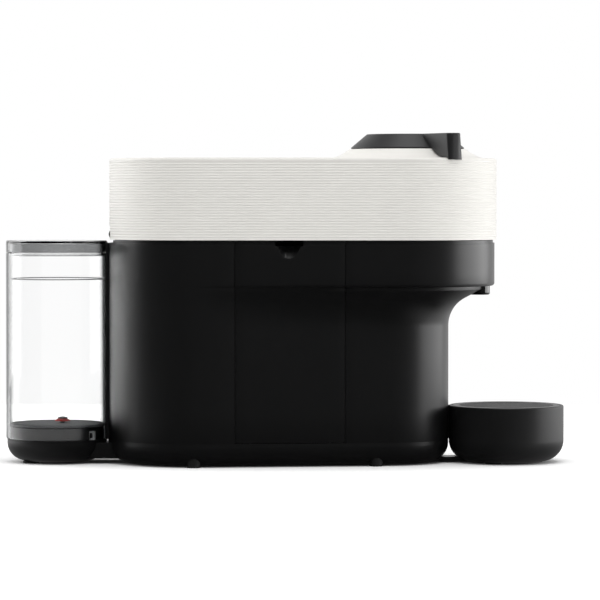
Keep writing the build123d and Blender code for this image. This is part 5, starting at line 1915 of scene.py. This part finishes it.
@dataclass
class WaterCircuit:
    """Pump, heater, flow meter, board and hoses in the rear of the body."""

    def dress(self, palette: Palette) -> None:
        """Give the circuit's pieces their finishes."""
        dress_solids(palette.inner, "bulkhead", "flow_meter")
        dress_solids(palette.can, "pump")
        dress_solids(palette.rubber, "pump_mounts")
        dress_solids(palette.casting, "heater")
        dress_solids(palette.board, "control_board")
        dress_solids(palette.hose, "suction_hose", "feed_hose", "pressure_hose", "brew_hose")


# Studio


@dataclass
class SoftBox:
    """A soft rectangular lamp that looks at the machine."""

    name: str
    place: tuple[float, float, float]
    size: tuple[float, float]
    power: float
    aim: tuple[float, float, float] = (0.0, 0.0, 0.12)

    def hang(self) -> None:
        """Hang the lamp in the studio."""
        lamp = bpy.data.lights.new(self.name, "AREA")
        lamp.shape = "RECTANGLE"
        lamp.size, lamp.size_y = self.size
        lamp.energy = self.power
        holder = bpy.data.objects.new(self.name, lamp)
        holder.location = self.place
        holder.rotation_euler = (Vector(self.aim) - Vector(self.place)).to_track_quat("-Z", "Y").to_euler()
        bpy.context.scene.collection.objects.link(holder)


@dataclass
class Studio:
    """White studio with a camera at the photograph's place."""

    eye: tuple[float, float, float] = (0.0115, -2.5, 0.2)
    mm_per_pixel: float = 0.7636
    pixels: int = 600
    eye_row: float = 200.0
    room: float = 0.42
    # The floor's half length and middle, the light it adds for the camera, and the reach of the painted
    # contact shadow
    floor_half: float = 1400.0
    floor_middle: float = -700.0
    floor_lift: float = 0.34
    painted_shadow_reach: float = 60.0

    def set_camera(self) -> None:
        """Place the camera a little above the machine's middle, tipped slightly down."""
        lens = bpy.data.cameras.new("camera")
        lens.sensor_width = 36.0
        span = self.pixels * self.mm_per_pixel
        distance = -self.eye[1] / MM
        lens.lens = lens.sensor_width * distance / span
        lens.clip_end = 50.0
        camera = bpy.data.objects.new("camera", lens)
        camera.location = self.eye
        tip = atan((self.pixels / 2 - self.eye_row) * self.mm_per_pixel / distance)
        camera.rotation_euler = (pi / 2 - tip, 0.0, 0.0)
        bpy.context.scene.collection.objects.link(camera)
        bpy.context.scene.camera = camera

    def lay_floor(self) -> None:
        """Lay a pale floor that keeps the machine's shadow, with a painted contact shadow close to it."""
        work = bmesh.new()
        bmesh.ops.create_grid(work, x_segments=8, y_segments=8, size=self.floor_half)
        bmesh.ops.translate(work, vec=(0, self.floor_middle, 0), verts=work.verts)
        floor = object_from("floor", work, outward=False)
        material, tree = new_material("pale_floor")
        shader = add_node(
            tree,
            "ShaderNodeBsdfPrincipled",
            {"Base Color": linear("#F4F4F4"), "Roughness": 0.9, "Specular IOR Level": 0.0},
        )
        path = add_node(tree, "ShaderNodeLightPath")
        seen = add_node(
            tree,
            "ShaderNodeMath",
            {"operation": "MAXIMUM"},
            {0: (path, "Is Camera Ray"), 1: (path, "Is Transmission Ray")},
        )
        # Painted contact shadow: the lift is scaled by ambient occlusion, so it dies away where the machine
        # stands close and the floor there is painted darker
        near = add_node(tree, "ShaderNodeAmbientOcclusion", {"Distance": self.painted_shadow_reach * MM})
        level = add_node(
            tree, "ShaderNodeMath", {"operation": "MULTIPLY", 1: self.floor_lift}, {0: (near, "AO")}
        )
        lift = add_node(tree, "ShaderNodeEmission", None, {"Strength": (level, 0)})
        none = add_node(tree, "ShaderNodeEmission", {"Strength": 0.0})
        pick = add_node(
            tree,
            "ShaderNodeMixShader",
            None,
            {0: (seen, 0), 1: (none, "Emission"), 2: (lift, "Emission")},
        )
        both = add_node(tree, "ShaderNodeAddShader", None, {0: (shader, "BSDF"), 1: (pick, "Shader")})
        # Shiny surfaces see it white at both sides and behind, and dim in front, with places in metres
        place = add_node(tree, "ShaderNodeTexCoord")
        split = add_node(tree, "ShaderNodeSeparateXYZ", None, {"Vector": (place, "Object")})
        apart = add_node(tree, "ShaderNodeMath", {"operation": "ABSOLUTE"}, {0: (split, "X")})
        side = add_node(
            tree,
            "ShaderNodeMapRange",
            {"From Min": 0.15, "From Max": 0.4, "To Min": 0.02, "To Max": 1.0},
            {"Value": (apart, 0)},
        )
        back = add_node(
            tree,
            "ShaderNodeMapRange",
            {"From Min": -0.3, "From Max": 0.0, "To Min": 0.05},
            {"Value": (split, "Y")},
        )
        sheen = add_node(
            tree, "ShaderNodeMath", {"operation": "MULTIPLY"}, {0: (side, "Result"), 1: (back, "Result")}
        )
        shine = add_node(tree, "ShaderNodeEmission", None, {"Strength": (sheen, 0)})
        # A ray through clear plastic counts as glossy too, and sees the floor as the camera does
        mirrored = add_node(
            tree,
            "ShaderNodeMath",
            {"operation": "SUBTRACT", "use_clamp": True},
            {0: (path, "Is Glossy Ray"), 1: (path, "Is Transmission Ray")},
        )
        all_rays = add_node(
            tree, "ShaderNodeMixShader", None, {0: (mirrored, 0), 1: (both, "Shader"), 2: (shine, "Emission")}
        )
        add_node(tree, "ShaderNodeOutputMaterial", None, {"Surface": (all_rays, "Shader")})
        floor.data.materials.append(material)

    def paint_room(self) -> None:
        """Light the room evenly and show it white behind the machine."""
        world = bpy.data.worlds.new("studio_room")
        world.use_nodes = True
        bpy.context.scene.world = world
        tree = world.node_tree
        tree.nodes.clear()
        path = add_node(tree, "ShaderNodeLightPath")
        seen = add_node(
            tree,
            "ShaderNodeMath",
            {"operation": "MAXIMUM"},
            {0: (path, "Is Camera Ray"), 1: (path, "Is Transmission Ray")},
        )
        # Shiny surfaces see a white backdrop behind the machine, and a dim room in front and below
        way = add_node(tree, "ShaderNodeTexCoord")
        split = add_node(tree, "ShaderNodeSeparateXYZ", None, {"Vector": (way, "Generated")})
        front = add_node(
            tree,
            "ShaderNodeMapRange",
            {"From Min": -0.3, "From Max": 0.4, "To Min": 0.02, "To Max": 0.14},
            {"Value": (split, "X")},
        )
        behind = add_node(
            tree,
            "ShaderNodeMapRange",
            {"From Min": 0.3, "From Max": 0.8, "To Max": 1.0},
            {"Value": (split, "Y"), "To Min": (front, "Result")},
        )
        above = add_node(
            tree, "ShaderNodeMapRange", {"From Min": -0.25, "From Max": -0.02}, {"Value": (split, "Z")}
        )
        round_about = add_node(
            tree, "ShaderNodeMath", {"operation": "MULTIPLY"}, {0: (behind, "Result"), 1: (above, "Result")}
        )
        shiny = add_node(
            tree,
            "ShaderNodeMath",
            {"operation": "MULTIPLY"},
            {0: (path, "Is Glossy Ray"), 1: (round_about, 0)},
        )
        white = add_node(tree, "ShaderNodeMath", {"operation": "MAXIMUM"}, {0: (seen, 0), 1: (shiny, 0)})
        picked = add_node(
            tree,
            "ShaderNodeMath",
            {"operation": "MAXIMUM"},
            {0: (seen, 0), 1: (path, "Is Glossy Ray")},
        )
        level = add_node(
            tree,
            "ShaderNodeMix",
            {"data_type": "FLOAT", 2: self.room},
            {0: (picked, 0), 3: (white, 0)},
        )
        glow = add_node(
            tree, "ShaderNodeBackground", {"Color": (1.0, 1.0, 1.0, 1.0)}, {"Strength": (level, 0)}
        )
        add_node(tree, "ShaderNodeOutputWorld", None, {"Surface": (glow, "Background")})

    def open(self) -> None:
        """Set up camera, lamps, floor and room."""
        bpy.context.scene.view_settings.view_transform = "Standard"
        self.set_camera()
        for lamp in (
            SoftBox("key", (0.25, -1.15, 2.4), (2.0, 1.0), 29.0),
            SoftBox("top", (0.1, 0.25, 1.9), (0.9, 0.7), 5.0),
            SoftBox("left_strip", (-1.3, 0.42, 0.4), (1.25, 1.7), 14.0),
            SoftBox("right_strip", (1.3, 0.12, 0.22), (1.4, 0.34), 7.6),
        ):
            lamp.hang()
        self.lay_floor()
        self.paint_room()


def main() -> None:
    """Build every sub-assembly in order."""
    logging.basicConfig(level=logging.INFO, format="%(message)s")
    studio = Studio()
    studio.open()
    palette = Palette.mixed()
    head = Head()
    Body().dress(palette)
    head.dress(palette)
    Lever().dress(palette, head)
    StartButton().dress(palette)
    WaterTank().dress(palette)
    CupStand().dress(palette)
    BrewUnit().dress(palette)
    WaterCircuit().dress(palette)


if __name__ == "__main__":
    main()
